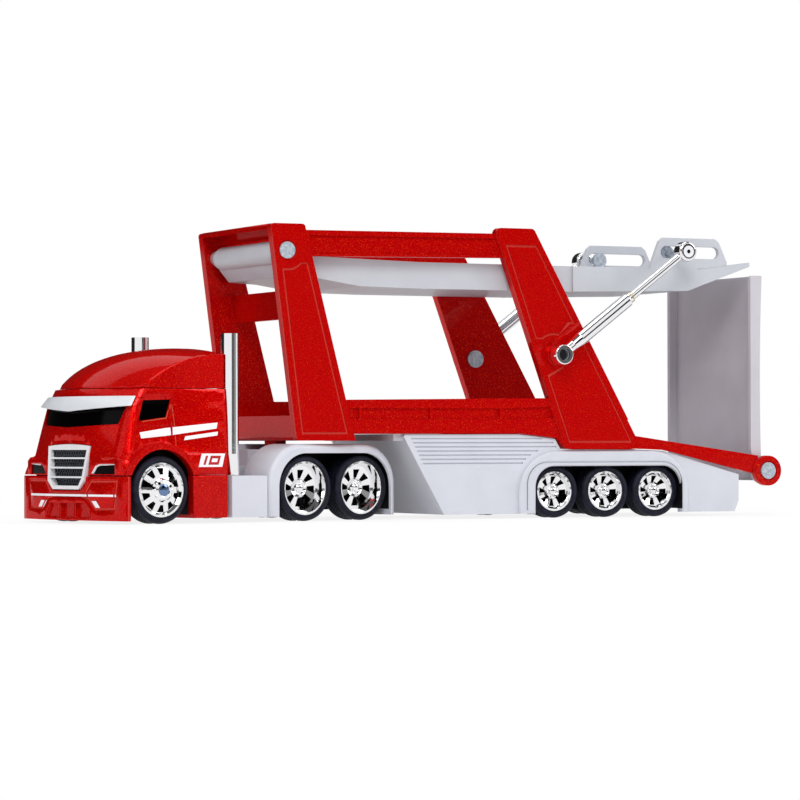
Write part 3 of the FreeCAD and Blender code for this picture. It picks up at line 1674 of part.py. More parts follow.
def build_strut(name, side):
    """A strut drawn along its own X, then turned and moved to its post's pin."""
    body = new_body(name)
    run = dim("slot_pin_x") - dim("strut_axis_x")
    rise = slot_pin_z() - dim("strut_axis_z")
    square = f"{run.formula} * {run.formula} + {rise.formula} * {rise.formula}"
    reach = Size(math.hypot(run.value, rise.value), f"sqrt({square})")
    eye = dim("strut_eye_radius")
    ball = dim("strut_ball_radius")
    half = dim("strut_eye_half")
    ball_half = half + dim("strut_ball_proud")
    revolve(body, add_sketch(body, "shaft", "XZ", 0, [strut_profile(reach)]), "H_Axis")
    pad(body, add_sketch(body, "lower_eye", "XZ", -half, [("circle", 0, 0, eye)]), half * 2)
    pad(body, add_sketch(body, "upper_eye", "XZ", -ball_half, [("circle", reach, 0, ball)]), ball_half * 2)
    bore = add_sketch(body, "bore", "XZ", half + REACH, [
        ("circle", 0, 0, dim("strut_pin_radius") + dim("running_gap")),
        ("circle", reach, 0, dim("strut_ball_bore")),
    ])
    pocket(body, bore, (half + REACH) * 2)
    round_edges(body, dim("strut_ball_round"), rim_of(ball))
    round_edges(body, dim("strut_eye_round"), rim_of(eye))
    degrees = -math.degrees(math.atan2(rise.value, run.value))
    lean = Size(degrees, f"0 deg - atan({rise.formula} / {run.formula})")
    place_body(body, dim("strut_axis_x"), dim("strut_line") * side, dim("strut_axis_z"), (0, 1, 0), lean)
    return body


def build_slot_pin(name, side):
    """The pin at a strut's upper end, through the deck's slot to a flat head inside."""
    body = new_body(name)
    axis = (dim("slot_pin_x"), slot_pin_z())
    head_out = dim("deck_rear_half") - dim("bracket_thick") - dim("seat_gap")
    strut_in = dim("strut_line") - dim("strut_eye_half") - dim("strut_ball_proud")
    head_in = head_out - dim("slot_head_thick")
    pad_out(body, "shank", side, head_out, strut_in, [("circle", *axis, dim("slot_pin_radius"))])
    pad_out(body, "head", side, head_in, head_out, [("circle", *axis, dim("slot_head_radius"))])
    return body


# Ramp


def ramp_panel():
    """Side view of the ramp's panel, bowed a little forwards."""
    back = dim("ramp_back_x")
    floor = dim("ramp_floor_x")
    top = dim("ramp_top_z")
    low = dim("ramp_axis_z") - dim("ramp_under_axis")
    middle = dim("ramp_mid_z")
    bow = dim("ramp_bow")
    lean = dim("ramp_top_lean")
    return [
        (floor + dim("ramp_floor_low_lean"), low),
        (back, low),
        (back, dim("ramp_foot_z"), (back - bow, middle)),
        (back + lean, top),
        (floor + dim("ramp_floor_top_lean"), top),
        (floor + lean, top - dim("ramp_lip_drop"), (floor + dim("ramp_floor_low_lean") - lean, middle)),
    ]


def ramp_cheek():
    """Side view of a cheek, turned forwards from the panel's edge."""
    floor = dim("ramp_floor_x")
    front = dim("ramp_face_front_x")
    top = dim("ramp_top_z")
    axis_z = dim("ramp_axis_z")
    seat = dim("cheek_seat")
    turn = dim("cheek_round")
    turn_mid = dim("cheek_round_mid")
    return [
        (floor + seat, dim("cheek_foot_z")),
        (floor + dim("cheek_top_seat"), top),
        (front + turn, top, (front + turn_mid, top - turn_mid)),
        (front, top - turn),
        (front, dim("cheek_front_foot_z")),
        (front + dim("cheek_toe_run"), axis_z + dim("cheek_toe_rise")),
        (floor + seat, axis_z + dim("cheek_heel_rise")),
    ]


def build_ramp():
    """The tail ramp: a panel with turned cheeks that end in pivot ears."""
    body = new_body("ramp")
    half = dim("ramp_half")
    inside = dim("ramp_flange_in")
    axis = (dim("ramp_axis_x"), dim("ramp_axis_z"))
    ear = [("circle", *axis, dim("ramp_ear_radius"))]
    bore = [("circle", *axis, dim("ramp_pin_radius") + dim("running_gap"))]
    pad_middle(body, "panel", half, [ramp_panel()])
    for label, side in SIDES.items():
        pad_out(body, f"cheek_{label}", side, inside, half, [ramp_cheek()])
        pad_out(body, f"ear_{label}", side, inside, half, ear)
        cut_in(body, f"bore_{label}", side, half, half - inside + OVERLAP, bore)
    return body


# Tractor chassis


def build_chassis():
    """Tractor chassis with its turret and side boxes as one moulding."""
    body = new_body("tractor_chassis")
    half = dim("chassis_half")
    low_z = dim("chassis_low_z")
    top_z = dim("chassis_top_z")
    front_x = dim("chassis_front_x")
    rear_x = dim("chassis_rear_x")
    cab_x = dim("cab_rear_x") + dim("cab_floor_gap")
    cab_z = dim("cab_foot_z") - dim("cab_floor_gap")
    pad_middle(body, "rails", half, [[
        (front_x, low_z),
        (rear_x, low_z),
        (rear_x, top_z - dim("chassis_tail_drop")),
        (rear_x - dim("chassis_tail_run"), top_z),
        (cab_x, top_z),
        (cab_x, cab_z),
        (front_x, cab_z),
    ]])
    plan = [
        (dim("turret_front_x"), dim("turret_end_half")),
        (dim("turret_shoulder_front_x"), dim("turret_half")),
        (dim("turret_shoulder_rear_x"), dim("turret_half")),
        (dim("turret_rear_x"), dim("turret_end_half")),
    ]
    plan += [(x, -y) for x, y in reversed(plan)]
    turret = add_sketch(body, "turret", "XY", top_z - OVERLAP, [plan])
    pad(body, turret, dim("turret_top_z") - top_z + OVERLAP)
    box = box_loop(dim("box_front_x"), dim("box_foot_z"), dim("box_rear_x"), dim("box_top_z"))
    for label, side in SIDES.items():
        pad_out(body, f"box_{label}", side, half - OVERLAP, dim("box_out"), [box])
    bore = dim("kingpin_radius") + dim("running_gap")
    hole = add_sketch(body, "kingpin_hole", "XY", dim("turret_top_z") + REACH, [("circle", 0, 0, bore)])
    pocket(body, hole, dim("kingpin_hole_depth") + REACH)
    bore = dim("axle_radius") + dim("running_gap")
    axles = ("steer_axle_x", "drive_axle_front_x", "drive_axle_rear_x")
    holes = [("circle", dim(axle), dim("tractor_tyre_radius"), bore) for axle in axles]
    cut_middle(body, "axle_holes", half, holes)
    turn_with_tractor(body)
    return body


def fender_arch(kind, foot_z):
    """One of the fender's two arch outlines, by the names of its sizes."""
    front_x = dim(f"{kind}_front_x")
    rear_x = dim(f"{kind}_rear_x")
    return arch_loop(front_x, rear_x, dim(f"{kind}_top_z"), foot_z, dim(f"{kind}_corner"))


def build_fender(name, side):
    """A tandem fender: one arch over both drive wheels."""
    body = new_body(name)
    foot = dim("box_foot_z")
    shell = fender_arch("fender", foot) + list(reversed(reverse_arcs(fender_arch("fender_arch", foot))))
    pad_out(body, "arch", side, dim("fender_in"), dim("fender_out"), [shell])
    # a web joins the arch to the chassis behind the wheels
    margin = dim("fender_web_margin")
    web_top = dim("fender_arch_top_z") + margin
    web = arch_loop(
        dim("fender_arch_front_x") - margin,
        dim("fender_arch_rear_x") + margin,
        web_top,
        web_top - dim("fender_web_height"),
        dim("fender_web_corner"),
    )
    pad_out(body, "web", side, dim("chassis_half"), dim("fender_in") + OVERLAP, [web])

    def outer_rim(edge):
        """The arch's outer edge on its outside face."""
        middle = middle_of(edge)
        before = middle.x < SIZES["fender_arch_front_x"] - OVERLAP
        behind = middle.x > SIZES["fender_arch_rear_x"] + OVERLAP
        above = middle.z > SIZES["fender_arch_top_z"] + OVERLAP
        off_foot = middle.z > SIZES["box_foot_z"] + OVERLAP
        return on_outside(edge, SIZES["fender_out"]) and off_foot and (before or behind or above)

    round_edges(body, dim("fender_round"), outer_rim)
    turn_with_tractor(body)
    return body


# Cab


def plan_loop(nose_x, corner_x, corner_y, side_x, side_y, rear_x, rear_y, bulge):
    """A level section of the cab: crowned front, round corners, straight sides and back."""
    corner_mid = ((corner_x + side_x) / 2 - bulge, (corner_y + side_y) / 2 + bulge / 2)
    return [
        (rear_x, -rear_y),
        (side_x, -side_y, (corner_mid[0], -corner_mid[1])),
        (corner_x, -corner_y, (nose_x, as_size(0))),
        (corner_x, corner_y, corner_mid),
        (side_x, side_y),
        (rear_x, rear_y),
    ]


# level, nose x, corner x, corner y, side x, side y, rear half-width, corner bulge
CAB_LEVELS = [
    ("cab_foot", 11.2, -60.2, -58.4, 15.8, -55.8, 19.4, 20.8, 0.5),
    ("fender_top", 16.0, -60.2, -58.1, 15.8, -55.4, 19.6, 20.6, 0.5),
    ("belt", 22.5, -60.0, -56.2, 15.8, -53.9, 18.9, 20.3, 0.5),
    ("screen_top", 27.5, -58.7, -54.6, 16.3, -52.6, 18.5, 19.9, 0.4),
    ("head", 31.1, -56.9, -52.6, 16.5, -50.0, 18.6, 19.5, 0.4),
]
# the block over each steered wheel's front: height and how far it is drawn in there
BLOCK_PLAN = ("block", 11.2, -60.3, -58.75, 17.4, -57.0, 20.8, 20.9, 0.6)
BLOCK_STEPS = [(11.2, 0.0), (14.4, 0.0), (15.2, 0.5), (15.9, 3.0)]
# corner cut of the roof in plan, from the nose to the side
ROOF_CORNER = [
    (-56.0, 13.0), (-52.1, 15.2), (-49.8, 18.1), (-43.1, 19.1),
    (-40.0, 19.35), (-40.0, 21.0), (-56.0, 21.0),
]
# outer and inner edge of the door line in the side view
DOOR_LINE = [(-55.6, 16.0), (-53.5, 28.9), (-45.9, 29.4), (-44.9, 28.3), (-44.5, 18.4, (-50.2, 18.75))]
DOOR_PANEL = [
    (-55.2, 16.35), (-53.2, 28.55), (-46.05, 29.03), (-45.25, 28.15), (-44.85, 18.75, (-50.2, 19.1)),
]
# side window and headlamp, the lamp in the front view
SIDE_WINDOW = [(-53.0, 23.6), (-51.5, 28.4), (-44.2, 28.6), (-45.7, 24.5)]
WINDSCREEN = [
    (-15.3, 22.9), (0.0, 22.2), (15.3, 22.9), (16.1, 26.4), (16.6, 28.6), (-16.6, 28.6), (-16.1, 26.4),
]
HEADLAMP = [(9.5, 11.46), (17.42, 11.47), (17.42, 13.8), (12.3, 13.75), (11.0, 13.3)]
# engraved outline of the bumper's panel and its three intake openings, right half in the front view
BUMPER_PANEL = [
    (5.0, 6.1), (8.3, 5.6), (10.9, 3.16), (17.6, 3.27), (18.42, 10.03), (9.43, 9.98), (7.13, 7.27),
]
BUMPER_INTAKES = [
    [(-9.3, 1.4), (-3.3, 1.4), (-3.3, 4.75), (-7.4, 4.75)],
    [(-2.8, 1.4), (2.8, 1.4), (2.8, 4.75), (-2.8, 4.75)],
    [(3.3, 1.4), (9.3, 1.4), (7.4, 4.75), (3.3, 4.75)],
]


# the grille's lower corners, right half: half-width, height and how each moves with an inset
GRILLE_FOOT = [(5.4, 7.9, 0.6, 1.0), (7.45, 9.9, 1.0, 0.3)]
GRILLE_HEAD_HALF = 8.6
# lower and upper edges of its openings, one bar apart
GRILLE_LEVELS = [8.75, 10.9, 13.1, 15.3, 17.4]


def grille_outline(inset, top=SIZES["grille_top_z"]):
    """The grille's front outline: wide above, narrowing to a chamfered foot, drawn in by an inset."""
    corners = list(GRILLE_FOOT) + [(GRILLE_HEAD_HALF, top, 1.0, -1.0)]
    right = [(y - inset * share_y, z + inset * share_z) for y, z, share_y, share_z in corners]
    left = [(-y, z) for y, z in reversed(right)]
    crest = (0.0, right[-1][1] + dim("grille_crown").value)
    return right[:-1] + [(right[-1][0], right[-1][1], crest)] + left


def mirrored_loop(half):
    """A closed outline from its right half, listed from the middle of its foot round to its top."""
    return list(half) + [(-y, z) for y, z in reversed(half)]


def inset_loop(points, distance):
    """A polygon drawn in by a distance; its points run against the clock."""
    result = []
    count = len(points)
    for number in range(count):
        corner = FreeCAD.Vector(*points[number], 0)
        before = (corner - FreeCAD.Vector(*points[number - 1], 0)).normalize()
        after = (FreeCAD.Vector(*points[(number + 1) % count], 0) - corner).normalize()
        inward = FreeCAD.Vector(-before.y - after.y, before.x + after.x, 0)
        share = distance / (1 + before.dot(after))
        result.append((corner.x + inward.x * share, corner.y + inward.y * share))
    return result


def panes_opening(points, gap):
    """A window outline, drawn in by a gap whichever way round its points run."""
    area = sum(
        points[number - 1][0] * points[number][1] - points[number][0] * points[number - 1][1]
        for number in range(len(points))
    )
    return inset_loop(points, gap if area > 0 else -gap)


# how much of an inset moves the ends of the cab's round corners along its front and sides
CORNER_SHARE = 0.6


def level_loop(level, inset, rear=None):
    """One cab section, drawn in by an inset."""
    inset = as_size(inset)
    _, _, nose, corner_x, corner_y, side_x, side_y, rear_y, bulge = level
    along_corner = inset * CORNER_SHARE
    return plan_loop(
        nose + inset,
        corner_x + inset,
        corner_y - along_corner,
        side_x + along_corner,
        side_y - inset,
        (dim("cab_rear_x") if rear is None else rear) - inset,
        rear_y - inset,
        bulge,
    )


def level_sketches(body, name, levels, inset, heights):
    """Sketches of cab sections at given heights."""
    result = []
    for level, height in zip(levels, heights):
        result.append(add_sketch(body, f"{name}_{level[0]}", "XY", height, [level_loop(level, inset)]))
    return result


def heights_of(levels, beyond=0.0):
    """The heights of cab sections, the first and the last one moved outwards by a little."""
    heights = [as_size(level[1]) for level in levels]
    return [heights[0] - beyond] + heights[1:-1] + [heights[-1] + beyond]


def engrave(body, tool):
    """Cut another body out of this one."""
    cut = body.newObject("PartDesign::Boolean", f"{tool.Name}_cut")
    cut.Type = "Cut"
    cut.setObjects([tool])
    return finish_feature(body, cut, False)


def build_door_lines():
    """The tool that engraves both door lines: a skin of the cab's sides, kept along the lines."""
    tool = new_tool("door_line_tool")
    levels = CAB_LEVELS[1:]
    loft(tool, level_sketches(tool, "out", levels, -OVERLAP, heights_of(levels)))
    depth = dim("door_line_depth")
    loft(tool, level_sketches(tool, "in", levels, depth, heights_of(levels, GRIP)), cut=True)
    around = box_loop(AHEAD_X, UNDER_Z, BEHIND_X, OVER_Z)
    cut_middle(tool, "line", BESIDE, [around, DOOR_LINE, DOOR_PANEL])
    return tool


def front_cut(body, name, loops, rear_x):
    """Cut loops in the front view into a tractor piece, from ahead of it back to a plane."""
    sketch = add_sketch(body, name, "YZ", as_size(AHEAD_X), loops)
    return pocket(body, sketch, rear_x - AHEAD_X, reverse=True)


def mirror_sides(loop):
    """A loop in the front view and its mirror image on the other side."""
    return [loop, [(-y, z) for y, z in loop]]


def build_cab():
    """The hollow cab with its windows, wheel arches, grille recess, lamp openings and door lines."""
    body = new_body("cab_shell")
    loft(body, level_sketches(body, "out", CAB_LEVELS, 0, heights_of(CAB_LEVELS)))
    block = []
    for number, (height, inset) in enumerate(BLOCK_STEPS):
        loop = level_loop(BLOCK_PLAN, inset, rear=dim("block_rear_x"))
        block.append(add_sketch(body, f"block_{number}", "XY", as_size(height), [loop]))
    loft(body, block)
    wall = dim("cab_wall")
    inside = heights_of(CAB_LEVELS)
    inside[0] = inside[0] - GRIP
    inside[-1] = dim("cab_head_z") - wall
    loft(body, level_sketches(body, "in", CAB_LEVELS, wall, inside), cut=True)
    niche = grille_outline(-SIZES["niche_margin"], SIZES["niche_top_z"])
    front_cut(body, "screen", [WINDSCREEN], dim("screen_rear_x"))
    front_cut(body, "niche", [niche], dim("niche_floor_x"))
    front_cut(body, "grille", [grille_outline(-SIZES["grille_gap"])], dim("grille_hole_rear_x"))
    front_cut(body, "lamps", mirror_sides(HEADLAMP), dim("lamp_seat_x"))
    axle = (dim("steer_axle_x"), dim("tractor_tyre_radius"))
    lip_out = dim("steer_lip_out")
    lip = [("circle", *axle, dim("steer_lip_radius"))]
    arch = [("circle", *axle, dim("steer_arch_radius"))]
    for label, side in SIDES.items():
        cut_in(body, f"window_{label}", side, lip_out, dim("side_window_depth"), [SIDE_WINDOW])
        pad_out(body, f"lip_{label}", side, lip_out - dim("steer_lip_depth"), lip_out, lip)
        cut_in(body, f"arch_{label}", side, lip_out, dim("steer_arch_depth"), arch)
    below = box_loop(AHEAD_X, -BESIDE, BEHIND_X, BESIDE)
    pocket(body, add_sketch(body, "below", "XY", dim("cab_foot_z"), [below]), dim("cab_below_depth"))
    turn_with_tractor(body)
    engrave(body, build_door_lines())
    return body


def build_headlamps():
    """The pair of dark lamp lenses, seated in the cab's lamp openings."""
    body = new_body("headlamps")
    lens = panes_opening(HEADLAMP, SIZES["glass_gap"])
    plate = add_sketch(body, "lens", "YZ", dim("lamp_seat_x"), mirror_sides(lens))
    pad(body, plate, dim("lamp_thick"), reverse=True)
    corner_x = dim("lamp_corner_x")
    corner_half = dim("lamp_corner_half")
    crown = add_sketch(body, "crown", "XY", as_size(OVER_Z), [[
        (AHEAD_X, -corner_half),
        (corner_x, -corner_half, (dim("lamp_crown_x"), as_size(0))),
        (corner_x, corner_half),
        (AHEAD_X, corner_half),
    ]])
    pocket(body, crown, OVER_Z - UNDER_Z)
    turn_with_tractor(body)
    return body


# side view of the roof fairing at its sides and in its middle: front edge, rise, knee, crown, rear
ROOF_SIDE = [(-50.2, 31.25), (-45.4, 35.2), (-39.3, 37.9), (-34.5, 38.8), (-29.4, 39.2)]
ROOF_MIDDLE = [(-55.9, 31.25), (-48.6, 36.95), (-38.5, 40.35), (-34.0, 40.85), (-29.4, 40.95)]
# how far each of these moves back and down with the wall's thickness
ROOF_MOVES = [(1.1, 0.0), (0.7, 0.8), (0.3, 1.0), (0.1, 1.0), (-0.9, 1.0)]


def roof_profile(points, inset):
    """The roof fairing's side outline at a distance from the middle plane, drawn in by an inset."""
    moved = [(x + inset * back, z - inset * down) for (x, z), (back, down) in zip(points, ROOF_MOVES)]
    foot, front_middle, knee, top_middle, rear = moved
    low = foot[1] - (GRIP if inset else 0)
    return [
        (foot[0], low, front_middle),
        (knee[0], knee[1], top_middle),
        rear,
        (rear[0], low),
    ]


def build_roof():
    """The roof fairing, crowned both ways, with cut corners and hollow below."""
    body = new_body("roof_fairing")
    half = dim("roof_half")
    inner = half - dim("roof_wall") - dim("roof_side_wall")
    for name, width, inset in (("out", half, 0.0), ("in", inner, SIZES["roof_wall"])):
        sections = []
        stations = ((-width, ROOF_SIDE), (0, ROOF_MIDDLE), (width, ROOF_SIDE))
        for number, (offset, points) in enumerate(stations):
            profile = roof_profile(points, inset)
            sections.append(add_sketch(body, f"{name}_{number}", "XZ", offset, [profile]))
        loft(body, sections, ruled=False, cut=name == "in")
    for label, side in SIDES.items():
        corner = [(x, y * side) for x, y in ROOF_CORNER]
        pocket(body, add_sketch(body, f"corner_{label}", "XY", as_size(OVER_Z), [corner]), OVER_Z - UNDER_Z)
    turn_with_tractor(body)
    return body


def build_glazing():
    """The dark windscreen and side windows, each a pane let into its opening."""
    body = new_body("cab_glazing")
    levels = CAB_LEVELS[1:]
    sunk = dim("glass_sunk")
    back = sunk + dim("glass_thick")
    loft(body, level_sketches(body, "out", levels, sunk, heights_of(levels)))
    loft(body, level_sketches(body, "in", levels, back, heights_of(levels, GRIP)), cut=True)
    behind = box_loop(dim("glass_rear_x"), -BESIDE, as_size(BEHIND_X), BESIDE)
    pocket(body, add_sketch(body, "rear", "XY", as_size(OVER_Z), [behind]), OVER_Z - UNDER_Z)
    gap = SIZES["glass_gap"]
    screen = [box_loop(-BESIDE, UNDER_Z, BESIDE, OVER_Z), panes_opening(WINDSCREEN, gap)]
    front_cut(body, "screen", screen, dim("screen_pane_rear_x"))
    beside = box_loop(dim("screen_pane_rear_x"), UNDER_Z, dim("side_pane_rear_x"), OVER_Z)
    cut_middle(body, "windows", BESIDE, [beside, panes_opening(SIDE_WINDOW, gap)])
    turn_with_tractor(body)
    return body


def bumper_band(front, back, ends):
    """A plan band that follows the bumper's crown between two distances behind its face."""
    half = dim("bumper_half")
    corner = dim("bumper_corner_x")
    nose = dim("bumper_nose_x")
    return [
        (corner + front, -half - ends, (nose + front, as_size(0))),
        (corner + front, half + ends),
        (corner + back, half + ends, (nose + back, as_size(0))),
        (corner + back, -half - ends),
    ]


def build_bumper_lines():
    """The tool that engraves the bumper's panel: a skin of its face, kept along the outline."""
    tool = new_tool("bumper_line_tool")
    foot = dim("bumper_foot_z")
    band = bumper_band(as_size(-OVERLAP), dim("groove_depth"), as_size(OVERLAP))
    pad(tool, add_sketch(tool, "skin", "XY", foot, [band]), dim("bumper_top_z") - foot)
    outline = mirrored_loop(BUMPER_PANEL)
    inner = inset_loop(outline, SIZES["groove_width"])
    around = box_loop(-BESIDE, UNDER_Z, BESIDE, OVER_Z)
    front_cut(tool, "line", [around, outline, inner], dim("bumper_corner_x") + REACH)
    return tool


def build_bumper():
    """The deep front bumper with its engraved panel, intake and grille notch."""
    body = new_body("front_bumper")
    half = dim("bumper_half")
    corner = dim("bumper_corner_x")
    nose = dim("bumper_nose_x")
    thick = dim("bumper_thick")
    foot = dim("bumper_foot_z")
    end_x = corner + dim("bumper_end_run")
    inner_half = half - dim("bumper_end_wall")
    plan = add_sketch(body, "plan", "XY", foot, [[
        (end_x, -half),
        (corner, -half, (nose, as_size(0))),
        (corner, half),
        (end_x, half),
        (corner + thick, inner_half, (nose + thick, as_size(0))),
        (corner + thick, -inner_half),
    ]])
    pad(body, plan, dim("bumper_top_z") - foot)
    front_cut(body, "notch", [grille_outline(-SIZES["grille_gap"])], nose + dim("bumper_notch_depth"))
    front_cut(body, "intake", BUMPER_INTAKES, nose + dim("intake_depth"))
    turn_with_tractor(body)
    engrave(body, build_bumper_lines())
    return body


def build_cab_skirt(name, side):
    """The red side skirt behind the steered wheel."""
    body = new_body(name)
    front_x = dim("skirt_front_x")
    rear_x = dim("skirt_back_x")
    top_z = dim("cab_foot_z") - dim("cab_skirt_gap")
    panel = [
        (front_x, dim("box_foot_z")),
        (rear_x, dim("box_foot_z")),
        (rear_x, top_z),
        (front_x - dim("cab_skirt_lean"), top_z),
    ]
    pad_out(body, "panel", side, dim("chassis_half"), dim("skirt_half"), [panel])
    turn_with_tractor(body)
    return body


# what is cut from the visor's low edge, in the front view
VISOR_DIP = [(-20.0, 24.0), (20.0, 24.0), (20.0, 27.2), (0.0, 25.9), (-20.0, 27.2)]


def build_visor():
    """The sun visor: a thick sheet between two crowned edges, its low edge dipping to the middle."""
    body = new_body("sun_visor")
    thick = dim("visor_thick")
    edges = []
    for name in ("low", "top"):
        nose_x = dim(f"visor_{name}_nose_x")
        end_x = dim(f"visor_{name}_end_x")
        half = dim(f"visor_{name}_end_half")
        edges.append(add_sketch(body, name, "XY", dim(f"visor_{name}_z"), [[
            (end_x, -half, (nose_x, as_size(0))),
            (end_x, half),
            (end_x + thick, half, (nose_x + thick, as_size(0))),
            (end_x + thick, -half),
        ]]))
    loft(body, edges)
    front_cut(body, "dip", [VISOR_DIP], dim("visor_top_end_x") + REACH)
    turn_with_tractor(body)
    return body


def grille_openings():
    """The four openings between the grille's frame and its three bars."""
    foot, bend, head = [corner[:2] for corner in grille_outline(0.0)[:3]]
    bar = SIZES["grille_bar"]
    band = SIZES["grille_band"]
    openings = []
    for low, above in zip(GRILLE_LEVELS[:-1], GRILLE_LEVELS[1:]):
        high = above - bar
        halves = []
        for z in (low, high):
            edge = (foot, bend) if z < bend[1] else (bend, head)
            halves.append(on_line(*edge, z) - band)
        low_half, high_half = halves
        openings.append([(-low_half, low), (low_half, low), (high_half, high), (-high_half, high)])
    return openings


def build_grille():
    """The bright grille frame with its three bars, leaning back, and the dark mesh behind."""
    frame = new_body("grille_frame")
    front = dim("grille_front_x")
    back = dim("grille_back_x")
    top_z = dim("grille_lean_top_z") + REACH
    loops = [grille_outline(0.0)] + grille_openings()
    pad(frame, add_sketch(frame, "front", "YZ", front, loops), back - front)
    lean_x = front + dim("grille_lean")
    lean = [
        (front - REACH, as_size(UNDER_Z)),
        (front, as_size(UNDER_Z)),
        (front, dim("grille_lean_foot_z")),
        (lean_x, dim("grille_lean_top_z")),
        (lean_x, top_z),
        (front - REACH, top_z),
    ]
    cut_middle(frame, "lean", BESIDE, [lean])
    turn_with_tractor(frame)
    mesh = new_body("grille_mesh")
    plate = add_sketch(mesh, "plate", "YZ", back, [grille_outline(SIZES["mesh_inset"])])
    pad(mesh, plate, dim("mesh_thick"))
    turn_with_tractor(mesh)


# rings of the stack's foot: share of its height down, lean backwards and share of its radius
STACK_FOOT = [(0.0, 0.0, 1.0), (0.4, 0.35, 0.9), (1.0, 0.7, 0.8)]


def build_stack(name, side):
    """An exhaust stack: a tall open pipe with a bend at its foot."""
    body = new_body(name)
    x = dim("stack_x")
    y = dim("stack_y") * side
    radius = dim("stack_radius")
    bend = dim("stack_bend_z")
    foot_height = bend - dim("box_top_z") - dim("running_gap")
    pipe = add_sketch(body, "pipe", "XY", bend, [("circle", x, y, radius)])
    pad(body, pipe, dim("stack_top_z") - bend)
    foot = []
    for number, (drop, lean, share) in enumerate(STACK_FOOT):
        circle = [("circle", x + lean, y, radius * share)]
        foot.append(add_sketch(body, f"foot_{number}", "XY", bend - foot_height * drop, circle))
    loft(body, foot)
    mouth = add_sketch(body, "mouth", "XY", dim("stack_top_z"), [("circle", x, y, dim("stack_bore"))])
    pocket(body, mouth, dim("stack_mouth_depth"))
    turn_with_tractor(body)
    return body


def build_all():
    """Make every sub-part."""
    for label, side in SIDES.items():
        build_side_frame(f"side_frame_{label}", side)
    build_top_bar()
    build_mid_bar()
    build_neck()
    build_lower_body()
    build_bogie()
    build_pins("deck_pivot_pins", dim("deck_axis_x"), dim("deck_axis_z"), [
        (dim("deck_pin_radius"), dim("deck_pin_in"), dim("frame_out") - dim("deck_pin_sunk")),
    ])
    build_pins("strut_pivot_pins", dim("strut_axis_x"), dim("strut_axis_z"), [
        (dim("strut_head_radius"), dim("strut_head_in"), dim("frame_in")),
        (dim("strut_pin_radius"), dim("frame_in"), dim("strut_pin_out")),
    ])
    build_pins("ramp_pivot_pins", dim("ramp_axis_x"), dim("ramp_axis_z"), [
        (
            dim("ramp_pin_radius"),
            dim("ramp_flange_in") - dim("ramp_pin_inside"),
            dim("frame_out") + dim("ramp_pin_proud"),
        ),
    ])
    build_wheels()
    build_deck()
    for label, side in SIDES.items():
        build_bracket(f"deck_bracket_{label}", side)
        build_strut(f"strut_{label}", side)
        build_slot_pin(f"slot_pin_{label}", side)
    build_ramp()
    build_chassis()
    for label, side in SIDES.items():
        build_fender(f"fender_{label}", side)
        build_cab_skirt(f"cab_skirt_{label}", side)
        build_stack(f"stack_{label}", side)
    build_cab()
    build_headlamps()
    build_roof()
    build_glazing()
    build_bumper()
    build_visor()
    build_grille()


def export_all():
    """Check every object and write one file per sub-part."""
    doc.recompute()
    for item in doc.Objects:
        faults = [state for state in item.State if state in ("Invalid", "Error")]
        check(not faults, f"{item.Name} is {faults}")
    os.makedirs("parts", exist_ok=True)
    for item in doc.Objects:
        if item.TypeId != "PartDesign::Body" or item.Label.endswith("_tool"):
            continue
        check(not item.Shape.isNull() and item.Shape.isValid(), f"{item.Label} has no valid shape")
        item.Shape.exportStep(f"parts/{item.Label}.step")


build_all()
export_all()
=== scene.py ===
import json
import math

import bpy
from mathutils import Matrix, Vector
from mathutils.bvhtree import BVHTree


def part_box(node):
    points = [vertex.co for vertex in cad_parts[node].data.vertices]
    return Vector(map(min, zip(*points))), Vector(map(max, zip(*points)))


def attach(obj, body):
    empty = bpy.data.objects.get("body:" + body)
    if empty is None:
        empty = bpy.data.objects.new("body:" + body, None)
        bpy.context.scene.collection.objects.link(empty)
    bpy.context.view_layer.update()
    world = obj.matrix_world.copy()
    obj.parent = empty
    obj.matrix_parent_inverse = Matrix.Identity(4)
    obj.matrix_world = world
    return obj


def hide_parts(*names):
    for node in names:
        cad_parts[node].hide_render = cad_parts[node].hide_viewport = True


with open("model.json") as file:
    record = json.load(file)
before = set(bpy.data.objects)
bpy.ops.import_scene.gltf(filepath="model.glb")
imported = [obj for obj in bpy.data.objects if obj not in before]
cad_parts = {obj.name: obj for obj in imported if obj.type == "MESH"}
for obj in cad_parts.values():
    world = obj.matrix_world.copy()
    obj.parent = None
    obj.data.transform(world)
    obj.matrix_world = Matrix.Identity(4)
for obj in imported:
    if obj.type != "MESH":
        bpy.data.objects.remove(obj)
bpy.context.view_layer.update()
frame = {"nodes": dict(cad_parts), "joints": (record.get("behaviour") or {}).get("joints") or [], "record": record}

MM = 0.001
JOINTS = {joint["name"]: joint for joint in frame["joints"]}
SLOTS = {item["node"]: item["material_slot"] for item in frame["record"]["subparts"]}
KINGPIN = Vector(JOINTS["fifth_wheel_turn"]["pos_m"])
TRACTOR_AXLE = Vector(JOINTS["steer_spin"]["axis"])
TURN = Matrix.Rotation(math.atan2(-TRACTOR_AXLE.x, TRACTOR_AXLE.y), 3, "Z")
SIDES = {"left": -1, "right": 1}
DRIVE_AXLES = ("drive_front", "drive_rear")
TRAILER_AXLES = ("trailer_front", "trailer_mid", "trailer_rear")
AXLES = ("steer",) + DRIVE_AXLES + TRAILER_AXLES


def at(x, y, z):
    """A place on the tractor, in millimetres from the kingpin's axis with the tractor straight ahead."""
    return KINGPIN + TURN @ (Vector((x, y, z)) * MM)


def along(x, y, z):
    """A direction on the tractor, given with the tractor straight ahead."""
    return (TURN @ Vector((x, y, z))).normalized()


# Nodes of materials


